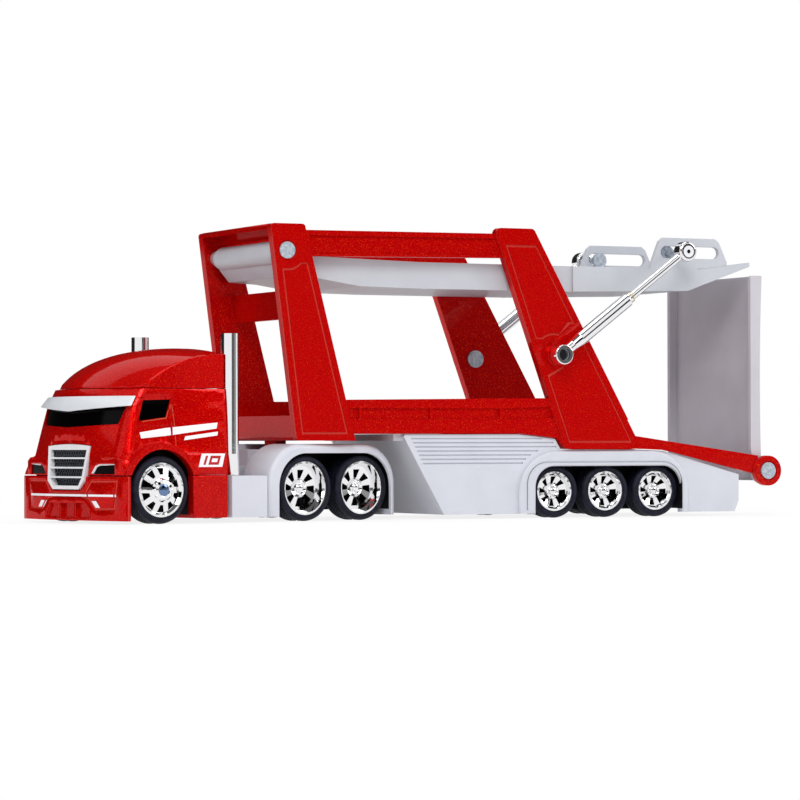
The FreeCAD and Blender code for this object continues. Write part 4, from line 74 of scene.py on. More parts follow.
def rgb(*values):
    """A linear colour from sRGB values of 0 to 255."""
    out = []
    for value in values:
        share = value / 255
        out.append(share / 12.92 if share <= 0.04045 else ((share + 0.055) / 1.055) ** 2.4)
    return out + [1.0]


WHITE = [1.0, 1.0, 1.0, 1.0]
BLACK = [0.0, 0.0, 0.0, 1.0]
COAT_ROUGHNESS = 0.06


def material(name, color, rough, metal=0.0, coat=0.0, specular=0.5):
    """A principled material and its shader node."""
    mat = bpy.data.materials.new(name)
    mat.use_nodes = True
    shader = mat.node_tree.nodes["Principled BSDF"]
    shader.inputs["Base Color"].default_value = color
    shader.inputs["Roughness"].default_value = rough
    shader.inputs["Metallic"].default_value = metal
    shader.inputs["Coat Weight"].default_value = coat
    shader.inputs["Coat Roughness"].default_value = COAT_ROUGHNESS
    shader.inputs["Specular IOR Level"].default_value = specular
    return mat, shader


def plain(name, color, rough, **finish):
    """A material of one colour, for prints, small trims and what lies in the dark."""
    return material(name, color, rough, **finish)[0]


def operation_node(tree, kind, operation, *values):
    """The outputs of a maths node, each of its inputs linked to a socket or set to a value."""
    node = tree.nodes.new(kind)
    node.operation = operation
    for socket, value in zip(node.inputs, values):
        if isinstance(value, bpy.types.NodeSocket):
            tree.links.new(value, socket)
        else:
            socket.default_value = value
    return node.outputs


def object_place(tree):
    """The shaded point in the object's own space."""
    return tree.nodes.new("ShaderNodeTexCoord").outputs["Object"]


def noise(tree, scale, detail):
    """The factor of a noise in object space, its scale in features per metre."""
    node = tree.nodes.new("ShaderNodeTexNoise")
    node.inputs["Scale"].default_value = scale
    node.inputs["Detail"].default_value = detail
    tree.links.new(object_place(tree), node.inputs["Vector"])
    return node.outputs["Fac"]


def ramp_between(tree, source, stops):
    """A colour ramp over a factor, from stops of (position, colour)."""
    ramp = tree.nodes.new("ShaderNodeValToRGB")
    ends = (ramp.color_ramp.elements[0], ramp.color_ramp.elements[1])
    for element, (position, color) in zip(ends, (stops[0], stops[-1])):
        element.position = position
        element.color = color
    for position, color in stops[1:-1]:
        ramp.color_ramp.elements.new(position).color = color
    tree.links.new(source, ramp.inputs["Fac"])
    return ramp.outputs["Color"]


def add_bump(tree, shader, source, strength, distance):
    """Roughen a surface a little by a factor, its full height the distance in metres."""
    bump = tree.nodes.new("ShaderNodeBump")
    bump.inputs["Strength"].default_value = strength
    bump.inputs["Distance"].default_value = distance
    tree.links.new(source, bump.inputs["Height"])
    tree.links.new(bump.outputs["Normal"], shader.inputs["Normal"])


# Lacquer, the floors of its engraved lines a little paler as painted highlight

RED = rgb(196, 2, 6)
DEEP_RED = rgb(158, 0, 4)
WARM_RED = rgb(210, 18, 8)
GOLD_FLAKE = rgb(236, 100, 38)
# Painted highlight mixed into the floors of engraved lines
GROOVE_HIGHLIGHT_RED = rgb(240, 96, 84)
RED_SHEEN = rgb(255, 50, 40)
FLAKES = [(0.28, DEEP_RED), (0.50, RED), (0.64, WARM_RED), (0.78, GOLD_FLAKE)]
COAT_IOR = 1.3

GROOVE_DEPTH = 0.35
GROOVE_REACH = 0.1
GROOVE_HIGHLIGHT_SHARE = 0.55
FRAME_MIDDLE_Y = 3.0
FRAME_OUT = 22.5
BUMPER_ARC = 98.85
BUMPER_FRONT_X = -60.5


def stretched_distance(tree, centre, stretch):
    """Distance from a centre in object space, with each axis counted by its stretch."""
    away = operation_node(tree, "ShaderNodeVectorMath", "SUBTRACT", object_place(tree), centre)
    scaled = operation_node(tree, "ShaderNodeVectorMath", "MULTIPLY", away["Vector"], stretch)
    return operation_node(tree, "ShaderNodeVectorMath", "LENGTH", scaled["Vector"])["Value"]


def groove_highlight(tree, color, distance, floor):
    """Painted highlight: paler lacquer on the floor of engraved lines, which lies at one distance from a centre.
    """
    inside = operation_node(
        tree, "ShaderNodeMath", "COMPARE", distance, floor * MM, GROOVE_REACH * MM
    )
    share = operation_node(tree, "ShaderNodeMath", "MULTIPLY", inside[0], GROOVE_HIGHLIGHT_SHARE)
    mix = tree.nodes.new("ShaderNodeMix")
    mix.data_type = "RGBA"
    mix.inputs["B"].default_value = GROOVE_HIGHLIGHT_RED
    tree.links.new(share[0], mix.inputs["Factor"])
    tree.links.new(color, mix.inputs["A"])
    return mix.outputs["Result"]


def red_paint(name, centre=None, stretch=None, floor=0.0):
    """Candy red lacquer over fine gold and dark flakes, with a painted highlight on the floors of engraved lines
    when a centre is given.
    """
    mat, shader = material(name, RED, rough=0.36, metal=0.5, coat=0.5, specular=0.0)
    shader.inputs["Coat IOR"].default_value = COAT_IOR
    shader.inputs["Specular Tint"].default_value = RED_SHEEN
    tree = mat.node_tree
    color = ramp_between(tree, noise(tree, scale=4200.0, detail=2.0), FLAKES)
    # Painted highlight on the floors of engraved lines
    if centre is not None:
        color = groove_highlight(tree, color, stretched_distance(tree, centre, stretch), floor)
    tree.links.new(color, shader.inputs["Base Color"])
    ripple = noise(tree, scale=700.0, detail=1.0)
    add_bump(tree, shader, ripple, strength=0.12, distance=0.0001)
    return mat


def frame_red():
    """Lacquer of the side frames, whose engraved lines lie at one distance from the middle plane and get a painted
    highlight.
    """
    middle = (0.0, FRAME_MIDDLE_Y * MM, 0.0)
    return red_paint("frame_red", middle, (0, 1, 0), FRAME_OUT - GROOVE_DEPTH)


def bumper_red():
    """Lacquer of the bumper, whose engraved lines lie on one arc seen from above and get a painted highlight."""
    centre = at(BUMPER_FRONT_X + BUMPER_ARC, 0, 0)
    return red_paint("bumper_red", centre, (1, 1, 0), BUMPER_ARC - GROOVE_DEPTH)


# Plastics and metals


def moulded_grey(name, low, high, rough):
    """Moulded plastic or cast paint with a faint mottle between two greys and a fine grain."""
    mat, shader = material(name, high, rough, coat=0.1, specular=0.35)
    tree = mat.node_tree
    mottle = noise(tree, scale=150.0, detail=2.0)
    tree.links.new(ramp_between(tree, mottle, [(0.3, low), (0.7, high)]), shader.inputs["Base Color"])
    grain = noise(tree, scale=3200.0, detail=2.0)
    add_bump(tree, shader, grain, strength=0.08, distance=0.00005)
    return mat


def chrome(name, color, rough, wave=0.1):
    """Vacuum-plated chrome, wavy enough to break up what it mirrors."""
    mat, shader = material(name, color, rough, metal=1.0)
    waves = noise(mat.node_tree, scale=420.0, detail=2.0)
    add_bump(mat.node_tree, shader, waves, strength=wave, distance=0.0001)
    return mat


def tyre_rubber():
    """Navy-black rubber with a slight scatter of dust."""
    mat, shader = material("tyre", rgb(20, 22, 36), rough=0.55, specular=0.2)
    tree = mat.node_tree
    dust = noise(tree, scale=900.0, detail=3.0)
    color = ramp_between(tree, dust, [(0.4, rgb(15, 16, 29)), (0.75, rgb(28, 30, 48))])
    tree.links.new(color, shader.inputs["Base Color"])
    return mat


def pin_steel():
    """Dull zinc-plated steel with a cloudy surface."""
    mat, shader = material("steel", rgb(180, 190, 200), rough=0.45, metal=0.55)
    tree = mat.node_tree
    cloud = noise(tree, scale=1300.0, detail=4.0)
    color = ramp_between(tree, cloud, [(0.3, rgb(150, 162, 176)), (0.7, rgb(206, 213, 220))])
    tree.links.new(color, shader.inputs["Base Color"])
    add_bump(tree, shader, cloud, strength=0.3, distance=0.0001)
    return mat


LOOKS = {
    "red_paint": red_paint("red_paint"),
    "frame_red": frame_red(),
    "bumper_red": bumper_red(),
    "silver_grey": moulded_grey("silver_grey", rgb(200, 203, 212), rgb(205, 208, 217), rough=0.42),
    "deck_grey": moulded_grey("deck_grey", rgb(184, 187, 194), rgb(189, 192, 199), rough=0.5),
    "ramp_grey": moulded_grey("ramp_grey", rgb(189, 185, 192), rgb(194, 190, 197), rough=0.5),
    "chrome": chrome("chrome", rgb(236, 236, 238), rough=0.06),
    "rim_chrome": chrome("rim_chrome", rgb(238, 238, 240), rough=0.06, wave=0.35),
    "satin_chrome": moulded_grey("satin_chrome", rgb(218, 219, 222), rgb(226, 227, 230), rough=0.3),
    "visor_satin": moulded_grey("visor_satin", rgb(206, 209, 214), rgb(212, 215, 220), rough=0.3),
    # Bluish chrome of the steer hub caps, its blue tint a painted reflection
    "blue_reflection_chrome": chrome("blue_reflection_chrome", rgb(108, 132, 168), rough=0.1),
    "brass": plain("brass", rgb(214, 196, 150), rough=0.3, metal=0.9),
    "dark_glass": plain("dark_glass", rgb(2, 2, 3), rough=0.12, specular=0.07),
    "black_plastic": plain("black_plastic", rgb(8, 8, 12), rough=0.6, specular=0.15),
    "dark_eye": plain("dark_eye", rgb(6, 7, 18), rough=0.2, coat=0.3),
    "tyre": tyre_rubber(),
    "steel": pin_steel(),
    "white_print": plain("white_print", rgb(236, 236, 241), rough=0.4),
    "red_print": plain("red_print", rgb(176, 6, 10), rough=0.4),
    # Gold-red lines of painted highlight along the cab's door and window edges
    "seam_highlight_gold": plain("seam_highlight_gold", rgb(196, 84, 50), rough=0.4, metal=0.3),
    "mesh_wire": plain("mesh_wire", rgb(74, 76, 84), rough=0.4, metal=0.3),
}
NODE_LOOKS = {
    "side_frame_left": "frame_red",
    "side_frame_right": "frame_red",
    "front_bumper": "bumper_red",
    "sun_visor": "visor_satin",
    "grille_frame": "satin_chrome",
    "ramp": "ramp_grey",
}
NODE_LOOKS.update({f"{kind}_rims": "rim_chrome" for kind in AXLES})


def dress_nodes():
    """Give every CAD node the material of its slot, or its own look."""
    for name, obj in frame["nodes"].items():
        obj.data.materials.clear()
        obj.data.materials.append(LOOKS[NODE_LOOKS.get(name, SLOTS[name])])


# Pieces


class Shape:
    """Vertices and faces gathered for one piece."""

    def __init__(self):
        self.vertices = []
        self.faces = []

    def add(self, vertices, faces):
        """Take in more vertices, and faces that count from the first of them."""
        start = len(self.vertices)
        self.vertices += vertices
        self.faces += [[start + index for index in face] for face in faces]

    def piece(self, name, look, body, smooth=True, sharp=35.0):
        """Make the object, hand it to a body and name its slot; edges over the sharp angle stay."""
        mesh = bpy.data.meshes.new(name)
        mesh.from_pydata(self.vertices, [], self.faces)
        mesh.update()
        obj = bpy.data.objects.new(name, mesh)
        bpy.context.scene.collection.objects.link(obj)
        mesh.materials.append(LOOKS[look])
        if smooth:
            mesh.shade_smooth()
            mesh.set_sharp_from_angle(angle=math.radians(sharp))
        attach(obj, body)
        return obj


NEARLY_UPRIGHT = 0.9


class Axis:
    """An axis in the frame: a centre, the way it points and two ways across it."""

    def __init__(self, centre, way):
        self.centre = Vector(centre)
        self.way = Vector(way).normalized()
        upright = abs(self.way.z) > NEARLY_UPRIGHT
        self.up = Vector((1, 0, 0)) if upright else Vector((0, 0, 1))
        self.up = (self.up - self.way * self.up.dot(self.way)).normalized()
        self.side = self.way.cross(self.up)

    def point(self, out, radius, turn):
        """A point this far out along the axis and this far from it."""
        across = self.up * math.cos(turn) + self.side * math.sin(turn)
        return self.centre + self.way * out + across * radius


def axle_axis(kind):
    """The axis of one axle's wheels."""
    joint = JOINTS[f"{kind}_spin"]
    return Axis(joint["pos_m"], joint["axis"])


def lathe(shape, axis, profile, steps, closed=False, capped=False):
    """Turn a profile of (out, radius) points, in millimetres, about an axis."""
    count = len(profile)
    vertices = []
    for step in range(steps):
        turn = 2 * math.pi * step / steps
        vertices += [axis.point(out * MM, radius * MM, turn) for out, radius in profile]
    faces = []
    for step in range(steps):
        here = step * count
        there = (step + 1) % steps * count
        for index in range(count if closed else count - 1):
            following = (index + 1) % count
            faces.append([here + index, there + index, there + following, here + following])
    if capped:
        faces.append([step * count + count - 1 for step in range(steps)])
        faces.append([step * count for step in reversed(range(steps))])
    shape.add(vertices, faces)


def strip_faces(count):
    """Faces between two rows of as many vertices each."""
    return [[index, index + 1, count + index + 1, count + index] for index in range(count - 1)]


# Tyres

TREAD_STEPS = 132
TREAD_ROWS = 9
TREAD_DEPTH = 0.3 * MM
SHOULDER = 1.1 * MM
SHOULDER_STEPS = 4
BEAD_INSET = 0.4 * MM
LIP_INSET = 0.12 * MM
LIP_RISE = 0.25 * MM
# Points up the sidewall, with its two raised rings: inset in millimetres, share of the height
SIDEWALL = [(0.02, 0.3), (0.10, 0.36), (0.10, 0.44), (0.0, 0.5), (0.0, 0.96)]


def wheel_measures(node, axis):
    """Inner and outer distance along the axle and least and largest radius of a pair of tyres."""
    outs = []
    radii = []
    for vertex in frame["nodes"][node].data.vertices:
        away = vertex.co - axis.centre
        out = away.dot(axis.way)
        outs.append(abs(out))
        radii.append((away - axis.way * out).length)
    return min(outs), max(outs), min(radii), max(radii)


def tyre_side(inner, bead, radius):
    """The inner sidewall and shoulder, from the bead to the tread, as (out, radius) points."""
    rise = radius - SHOULDER - bead
    side = [(inner + BEAD_INSET, bead), (inner + LIP_INSET, bead + LIP_RISE)]
    side += [(inner + inset * MM, bead + rise * share) for inset, share in SIDEWALL]
    for step in reversed(range(1, SHOULDER_STEPS)):
        turn = math.pi / 2 * step / SHOULDER_STEPS
        out = inner + SHOULDER * (1 - math.sin(turn))
        side.append((out, radius - SHOULDER * (1 - math.cos(turn))))
    return side


def tyre_profile(inner, outer, bead, radius):
    """Outline of a tyre's section, each point with its row of the tread or None."""
    side = tyre_side(inner, bead, radius)
    first = inner + SHOULDER
    width = outer - inner - 2 * SHOULDER
    tread = []
    for row in range(TREAD_ROWS):
        tread.append(((first + width * row / (TREAD_ROWS - 1), radius), row))
    far_side = [((inner + outer - out, far), None) for out, far in reversed(side)]
    return [(point, None) for point in side] + tread + far_side


def tread_depth(row, step):
    """How deep a point of the tread is pressed in: every other one, but not along the edges."""
    inside = row is not None and 0 < row < TREAD_ROWS - 1
    return TREAD_DEPTH if inside and (row + step) % 2 else 0.0


def tyre_faces(profile, step):
    """Faces between two sections, split into diamonds across the tread."""
    count = len(profile)
    here = step * count
    there = (step + 1) % TREAD_STEPS * count
    faces = []
    for index in range(count):
        following = (index + 1) % count
        quad = [here + index, here + following, there + following, there + index]
        row = profile[index][1]
        if row is None or profile[following][1] is None:
            faces.append(quad)
        elif (row + step) % 2:
            faces += [quad[:3], [quad[0], quad[2], quad[3]]]
        else:
            faces += [[quad[0], quad[1], quad[3]], quad[1:]]
    return faces


def add_tyre(shape, axis, side, profile):
    """One tyre: a closed ring whose tread is knurled into small diamonds."""
    vertices = []
    faces = []
    for step in range(TREAD_STEPS):
        turn = 2 * math.pi * step / TREAD_STEPS
        for (out, radius), row in profile:
            vertices.append(axis.point(side * out, radius - tread_depth(row, step), turn))
        faces += tyre_faces(profile, step)
    if side < 0:
        faces = [list(reversed(face)) for face in faces]
    shape.add(vertices, faces)


def make_tyres(kind):
    """Both tyres of an axle, in place of the plain ones."""
    axis = axle_axis(kind)
    node = f"{kind}_tyres"
    profile = tyre_profile(*wheel_measures(node, axis))
    shape = Shape()
    for side in SIDES.values():
        add_tyre(shape, axis, side, profile)
    tyres = shape.piece(f"{kind}_tread_tyres", "tyre", f"{kind}_wheels", sharp=20.0)
    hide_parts(node)


# Hubs, in millimetres from the axle's middle

SMALL_CAP = [(0.0, 1.02), (0.3, 1.0), (0.5, 0.78), (0.6, 0.3)]
STEER_HUB = {
    "nuts": 10,
    "nut_out": 21.15,
    "nut_ring": 2.35,
    "nut_height": 0.42,
    "nut_radius": 0.3,
    "cap_out": 21.35,
    "cap": [(0.0, 1.5), (0.3, 1.48), (0.45, 1.25), (0.52, 0.8), (0.55, 0.3)],
    "cap_look": "blue_reflection_chrome",
    "core_out": 18.6,
    "core_radius": 5.6,
}
DRIVE_HUB = {
    "nuts": 8,
    "nut_out": 18.35,
    "nut_ring": 1.45,
    "nut_height": 0.3,
    "nut_radius": 0.2,
    "cap_out": 18.2,
    "cap": SMALL_CAP,
    "cap_look": "chrome",
    "core_out": 15.9,
    "core_radius": 5.75,
}
TRAILER_HUB = {
    "nuts": 8,
    "nut_out": 19.2,
    "nut_ring": 1.45,
    "nut_height": 0.28,
    "nut_radius": 0.18,
    "cap_out": 19.05,
    "cap": SMALL_CAP,
    "cap_look": "chrome",
    "core_out": 16.7,
    "core_radius": 4.25,
}
HUBS = {"steer": STEER_HUB}
HUBS.update({kind: DRIVE_HUB for kind in DRIVE_AXLES})
HUBS.update({kind: TRAILER_HUB for kind in TRAILER_AXLES})

NUT_SIDES = 6
NUT_CROWN_HEIGHT = 1.3
NUT_CROWN_RADIUS = 0.6
CORE_DEPTH = 0.3
CORE_STEPS = 40
ROUND_STEPS = 32


def face_axis(axis, side, out, ring=0.0, turn=0.0):
    """An axis that points out of a wheel's face, from a place given in millimetres."""
    return Axis(axis.point(side * out * MM, ring * MM, turn), axis.way * side)


def add_nuts(shape, axis, side, hub):
    """A ring of six-sided nuts on a wheel's face."""
    height = hub["nut_height"]
    radius = hub["nut_radius"]
    crown = (height * NUT_CROWN_HEIGHT, radius * NUT_CROWN_RADIUS)
    for number in range(hub["nuts"]):
        turn = 2 * math.pi * (number + 0.5) / hub["nuts"]
        nut = face_axis(axis, side, hub["nut_out"], hub["nut_ring"], turn)
        lathe(shape, nut, [(0.0, radius), (height, radius), crown], NUT_SIDES, capped=True)


def make_hubs(kind, hub):
    """Nuts, hub caps and the black wheel bodies behind the spokes of an axle's two wheels."""
    axis = axle_axis(kind)
    nuts = Shape()
    caps = Shape()
    cores = Shape()
    core = [(-CORE_DEPTH, hub["core_radius"]), (0.0, hub["core_radius"])]
    for side in SIDES.values():
        add_nuts(nuts, axis, side, hub)
        lathe(caps, face_axis(axis, side, hub["cap_out"]), hub["cap"], ROUND_STEPS, capped=True)
        lathe(cores, face_axis(axis, side, hub["core_out"]), core, CORE_STEPS, capped=True)
    nuts.piece(f"{kind}_lug_nuts", "chrome", f"{kind}_wheels")
    caps.piece(f"{kind}_hub_caps", hub["cap_look"], f"{kind}_wheels", sharp=50.0)
    cores.piece(f"{kind}_wheel_cores", "black_plastic", f"{kind}_wheels")


# Dark wheel wells, black liners that stand partly for the black chassis and partly for painted shade inside the
# arches

STEER_ARCH = {"x": -48.0, "z": 7.8, "radius": 9.24, "start": 24, "end": 152, "steps": 20}
STEER_ARCH_REAR = [(-39.6, 2.0)]
STEER_ARCH_FRONT = [(-56.2, 10.4), (-56.2, 2.0)]
DRIVE_ARCH = {"front": -14.94, "rear": 18.54, "top": 16.04, "foot": 2.6, "corner": 8.0}
TRAILER_ARCH = {"front": 23.46, "rear": 67.24, "top": 13.74, "foot": 2.0, "corner": 5.5}
CORNER_STEPS = 8


def well(name, outline, place, inner, outer, body):
    """A black wheel well on each side, partly painted shade: a wall behind the wheels and a roof along the arch.
    """
    shape = Shape()
    for side in SIDES.values():
        back = [place(x, side * inner, z) for x, z in outline]
        front = [place(x, side * outer, z) for x, z in outline]
        wall = list(range(len(outline)))
        shape.add(back + front, [wall] + strip_faces(len(outline)))
    shape.piece(name, "black_plastic", body)


def arc_points(x, z, radius, start, end, steps):
    """Points on an arc, its angles in degrees."""
    points = []
    for step in range(steps + 1):
        turn = math.radians(start + (end - start) * step / steps)
        points.append((x + radius * math.cos(turn), z + radius * math.sin(turn)))
    return points


def arch_points(front, rear, top, foot, corner):
    """An arch outline with rounded corners, from its rear foot to its front foot."""
    rear_corner = arc_points(rear - corner, top - corner, corner, 0, 90, CORNER_STEPS)
    front_corner = arc_points(front + corner, top - corner, corner, 90, 180, CORNER_STEPS)
    return [(rear, foot)] + rear_corner + front_corner + [(front, foot)]


def trailer_place(x, y, z):
    """A place on the trailer, in millimetres from the middle plane."""
    middle = JOINTS["trailer_mid_spin"]["pos_m"][1]
    return Vector((x * MM, middle + y * MM, z * MM))


def make_shaded_wells():
    """Wells of the steer wheels, the drive wheels and the trailer's wheels, dark partly as painted shade."""
    steer = STEER_ARCH_REAR + arc_points(**STEER_ARCH) + STEER_ARCH_FRONT
    well("steer_wells", steer, at, inner=8.9, outer=19.3, body="tractor")
    drive = arch_points(**DRIVE_ARCH)
    well("drive_wells", drive, at, inner=11.6, outer=20.9, body="tractor")
    trailer = arch_points(**TRAILER_ARCH)
    well("trailer_wells", trailer, trailer_place, inner=13.3, outer=22.4, body="trailer")


# Prints and trims laid on the cab, each band as its lower and its upper line

SIDE_START = 30.0
FRONT_START = -70.0
SEAM_LIFT = 0.04
PRINT_LIFT = 0.05
TRIM_LIFT = 0.06
NUMBER_LIFT = 0.08
NICHE_LIFT = 0.42


def surface_of(*nodes):
    """The outside of CAD nodes, to lay prints on."""
    vertices = []
    faces = []
    for node in nodes:
        mesh = frame["nodes"][node].data
        start = len(vertices)
        vertices += [vertex.co.copy() for vertex in mesh.vertices]
        faces += [[start + index for index in polygon.vertices] for polygon in mesh.polygons]
    return BVHTree.FromPolygons(vertices, faces)


def mixed(start, end, share):
    """A point between two."""
    return tuple(one + (two - one) * share for one, two in zip(start, end))


class Print:
    """A thin print on a tractor panel, drawn in the side or the front view."""

    def __init__(self, tree, way, place, lift):
        self.tree = tree
        self.way = way
        self.place = place
        self.lift = lift * MM
        self.shape = Shape()

    def drop(self, point):
        """Where a point of the drawing lands on the surface, a little proud of it."""
        hit, _, _, _ = self.tree.ray_cast(self.place(*point), self.way)
        if hit is None:
            raise RuntimeError(f"a print misses the surface at {point}")
        return hit - self.way * self.lift

    def band(self, lower, upper, steps=6):
        """A band between two lines with as many points each, every run cut into steps."""
        low = [self.drop(lower[0])]
        high = [self.drop(upper[0])]
        for number in range(1, len(lower)):
            for step in range(1, steps + 1):
                share = step / steps
                low.append(self.drop(mixed(lower[number - 1], lower[number], share)))
                high.append(self.drop(mixed(upper[number - 1], upper[number], share)))
        self.shape.add(low + high, strip_faces(len(low)))


def side_print(side, lift=PRINT_LIFT):
    """A print on one side of the cab, drawn by x and height."""
    tree = surface_of("cab_shell")
    return Print(tree, along(0, -side, 0), lambda x, z: at(x, SIDE_START * side, z), lift)


def front_print(nodes, lift=PRINT_LIFT):
    """A print on the tractor's front, drawn by y and height."""
    return Print(surface_of(*nodes), along(1, 0, 0), lambda y, z: at(FRONT_START, y, z), lift)


def stripe(start, end, low, high):
    """The lower and the upper line of a level band."""
    return [(start, low), (end, low)], [(start, high), (end, high)]


# The cab's stripes and number

LONG_STRIPE = (
    [(-52.6, 19.6), (-46.0, 20.2), (-32.2, 21.9)],
    [(-52.9, 21.0), (-46.0, 22.0), (-31.8, 23.3)],
)
SHORT_STRIPE = ([(-41.2, 19.2), (-32.0, 20.3)], [(-40.8, 20.1), (-31.8, 21.2)])
NUMBER_FIELD = ([(-37.4, 13.0), (-30.9, 13.0)], [(-36.5, 16.1), (-30.0, 16.1)])
NUMBER_MIDDLE = -33.7
NUMBER_LEFT = -36.1
NUMBER_RIGHT = -31.9
NUMBER_LOW = 13.5
NUMBER_HIGH = 15.6
NUMBER_LEAN = 0.35
STROKE = 0.62
ZERO_LEFT = NUMBER_LEFT + 2.2 * STROKE


def facing(line, side):
    """A line drawn for the left side, turned about the number to read the same on the right one."""
    if side < 0:
        return line
    return [(2 * NUMBER_MIDDLE - x, z) for x, z in line]


def slanted(line):
    """A line of the number, leaning with its height."""
    return [(x + NUMBER_LEAN * (z - NUMBER_LOW), z) for x, z in line]


def number_strokes():
    """Strokes of a plain number 10: the one, then the zero's foot, head, left and right."""
    inner_low = NUMBER_LOW + STROKE
    inner_high = NUMBER_HIGH - STROKE
    return [
        stripe(NUMBER_LEFT, NUMBER_LEFT + STROKE, NUMBER_LOW, NUMBER_HIGH),
        stripe(ZERO_LEFT, NUMBER_RIGHT, NUMBER_LOW, inner_low),
        stripe(ZERO_LEFT, NUMBER_RIGHT, inner_high, NUMBER_HIGH),
        stripe(ZERO_LEFT, ZERO_LEFT + STROKE, inner_low, inner_high),
        stripe(NUMBER_RIGHT - STROKE, NUMBER_RIGHT, inner_low, inner_high),
    ]


def make_cab_prints():
    """Plain stripes and a plain number on both sides of the cab."""
    for label, side in SIDES.items():
        stripes = side_print(side)
        stripes.band(*LONG_STRIPE)
        stripes.band(*SHORT_STRIPE)
        stripes.shape.piece(f"cab_stripes_{label}", "white_print", "tractor")
        field = side_print(side)
        field.band(*[facing(line, side) for line in NUMBER_FIELD])
        field.shape.piece(f"number_field_{label}", "white_print", "tractor")
        number = side_print(side, NUMBER_LIFT)
        for lines in number_strokes():
            number.band(*[facing(slanted(line), side) for line in lines], steps=2)
        number.shape.piece(f"number_{label}", "red_print", "tractor")


# The cab's door and window lines, as painted highlight

SEAM_WIDTH = 0.13
DOOR_LINE = [(-44.1, 27.2), (-43.7, 24.0), (-43.5, 18.0)]
WINDOW_EDGE_IN = [(-52.0, 23.55), (-45.62, 24.38), (-44.45, 27.4)]
WINDOW_EDGE_OUT = [(-52.0, 23.38), (-45.48, 24.2), (-44.28, 27.4)]


def make_seam_highlights():
    """Painted highlight along the door's rear line and two sides of the window."""
    for label, side in SIDES.items():
        seams = side_print(side, SEAM_LIFT)
        seams.band(DOOR_LINE, [(x + SEAM_WIDTH, z) for x, z in DOOR_LINE], steps=4)
        seams.band(WINDOW_EDGE_OUT, WINDOW_EDGE_IN, steps=4)
        seams.shape.piece(f"door_seam_highlight_{label}", "seam_highlight_gold", "tractor")


# The bumper's stripe and lamps and the headlamps' trims

STRIPE_LOW = 6.3
STRIPE_HIGH = 6.8
STRIPE_END = 17.8
NICHE_HALF = 8.6
LAMP_LOW = [(10.7, 3.76), (12.9, 3.76)]
LAMP_HIGH = [(9.1, 5.3), (11.5, 5.3)]
LAMP_TRIM_OUT = [(9.6, 11.6), (11.0, 13.3), (12.3, 13.75), (14.4, 13.78), (17.3, 13.8)]
LAMP_TRIM_IN = [(10.05, 11.6), (11.3, 13.05), (12.4, 13.42), (14.4, 13.45), (17.3, 13.6)]


def mirrored(line, side):
    """A line of the front view on one side."""
    return [(y * side, z) for y, z in line]


def make_front_prints():
    """The bumper's white stripe and lamps, and the bright trims of the headlamps."""
    bumper = front_print(["front_bumper"])
    bumper.band(*stripe(-STRIPE_END, -NICHE_HALF, STRIPE_LOW, STRIPE_HIGH), steps=12)
    bumper.band(*stripe(NICHE_HALF, STRIPE_END, STRIPE_LOW, STRIPE_HIGH), steps=12)
    middle = Print(bumper.tree, bumper.way, bumper.place, NICHE_LIFT)
    middle.band(*stripe(-NICHE_HALF, NICHE_HALF, STRIPE_LOW, STRIPE_HIGH), steps=24)
    bumper.shape.add(middle.shape.vertices, middle.shape.faces)
    trims = front_print(["headlamps", "cab_shell"], TRIM_LIFT)
    for side in SIDES.values():
        bumper.band(mirrored(LAMP_LOW, side), mirrored(LAMP_HIGH, side), steps=3)
        trims.band(mirrored(LAMP_TRIM_OUT, side), mirrored(LAMP_TRIM_IN, side), steps=3)
    bumper.shape.piece("bumper_prints", "white_print", "tractor")
    trims.shape.piece("headlamp_trims", "satin_chrome", "tractor")


# Grille

MESH_FIELD = [(-5.0, 8.3), (5.0, 8.3), (7.0, 10.0), (8.1, 17.5), (-8.1, 17.5), (-7.0, 10.0)]
MESH_MIDDLE_Z = 13.0
MESH_LEAN = math.radians(58)
MESH_PITCH = 0.85
MESH_LINES = 14
MESH_WIRE = 0.13
MESH_FRONT_X = -59.15
MESH_BACK_X = -58.88
FAR = 100.0
PARALLEL = 1e-9
# Faces of a box whose corners run from back to front, then from end to end, then from side to side
BOX_FACES = [[0, 1, 3, 2], [4, 6, 7, 5], [0, 4, 5, 1], [2, 3, 7, 6], [0, 2, 6, 4], [1, 5, 7, 3]]


def clipped(origin, way, field):
    """The stretch of a line inside a convex field, as its two distances from the origin."""
    low = -FAR
    high = FAR
    for number in range(len(field)):
        x_one, z_one = field[number - 1]
        x_two, z_two = field[number]
        normal = (z_one - z_two, x_two - x_one)
        gap = normal[0] * (origin[0] - x_one) + normal[1] * (origin[1] - z_one)
        rate = normal[0] * way[0] + normal[1] * way[1]
        if abs(rate) < PARALLEL:
            if gap < 0:
                return None
        elif rate > 0:
            low = max(low, -gap / rate)
        else:
            high = min(high, -gap / rate)
    return (low, high) if high - low > MESH_WIRE else None


def wire_corners(origin, way, across, stretch):
    """The eight corners of one wire of the mesh."""
    corners = []
    for x in (MESH_BACK_X, MESH_FRONT_X):
        for end in stretch:
            for half in (-MESH_WIRE / 2, MESH_WIRE / 2):
                y = origin[0] + way[0] * end + across[0] * half
                z = origin[1] + way[1] * end + across[1] * half
                corners.append(at(x, y, z))
    return corners


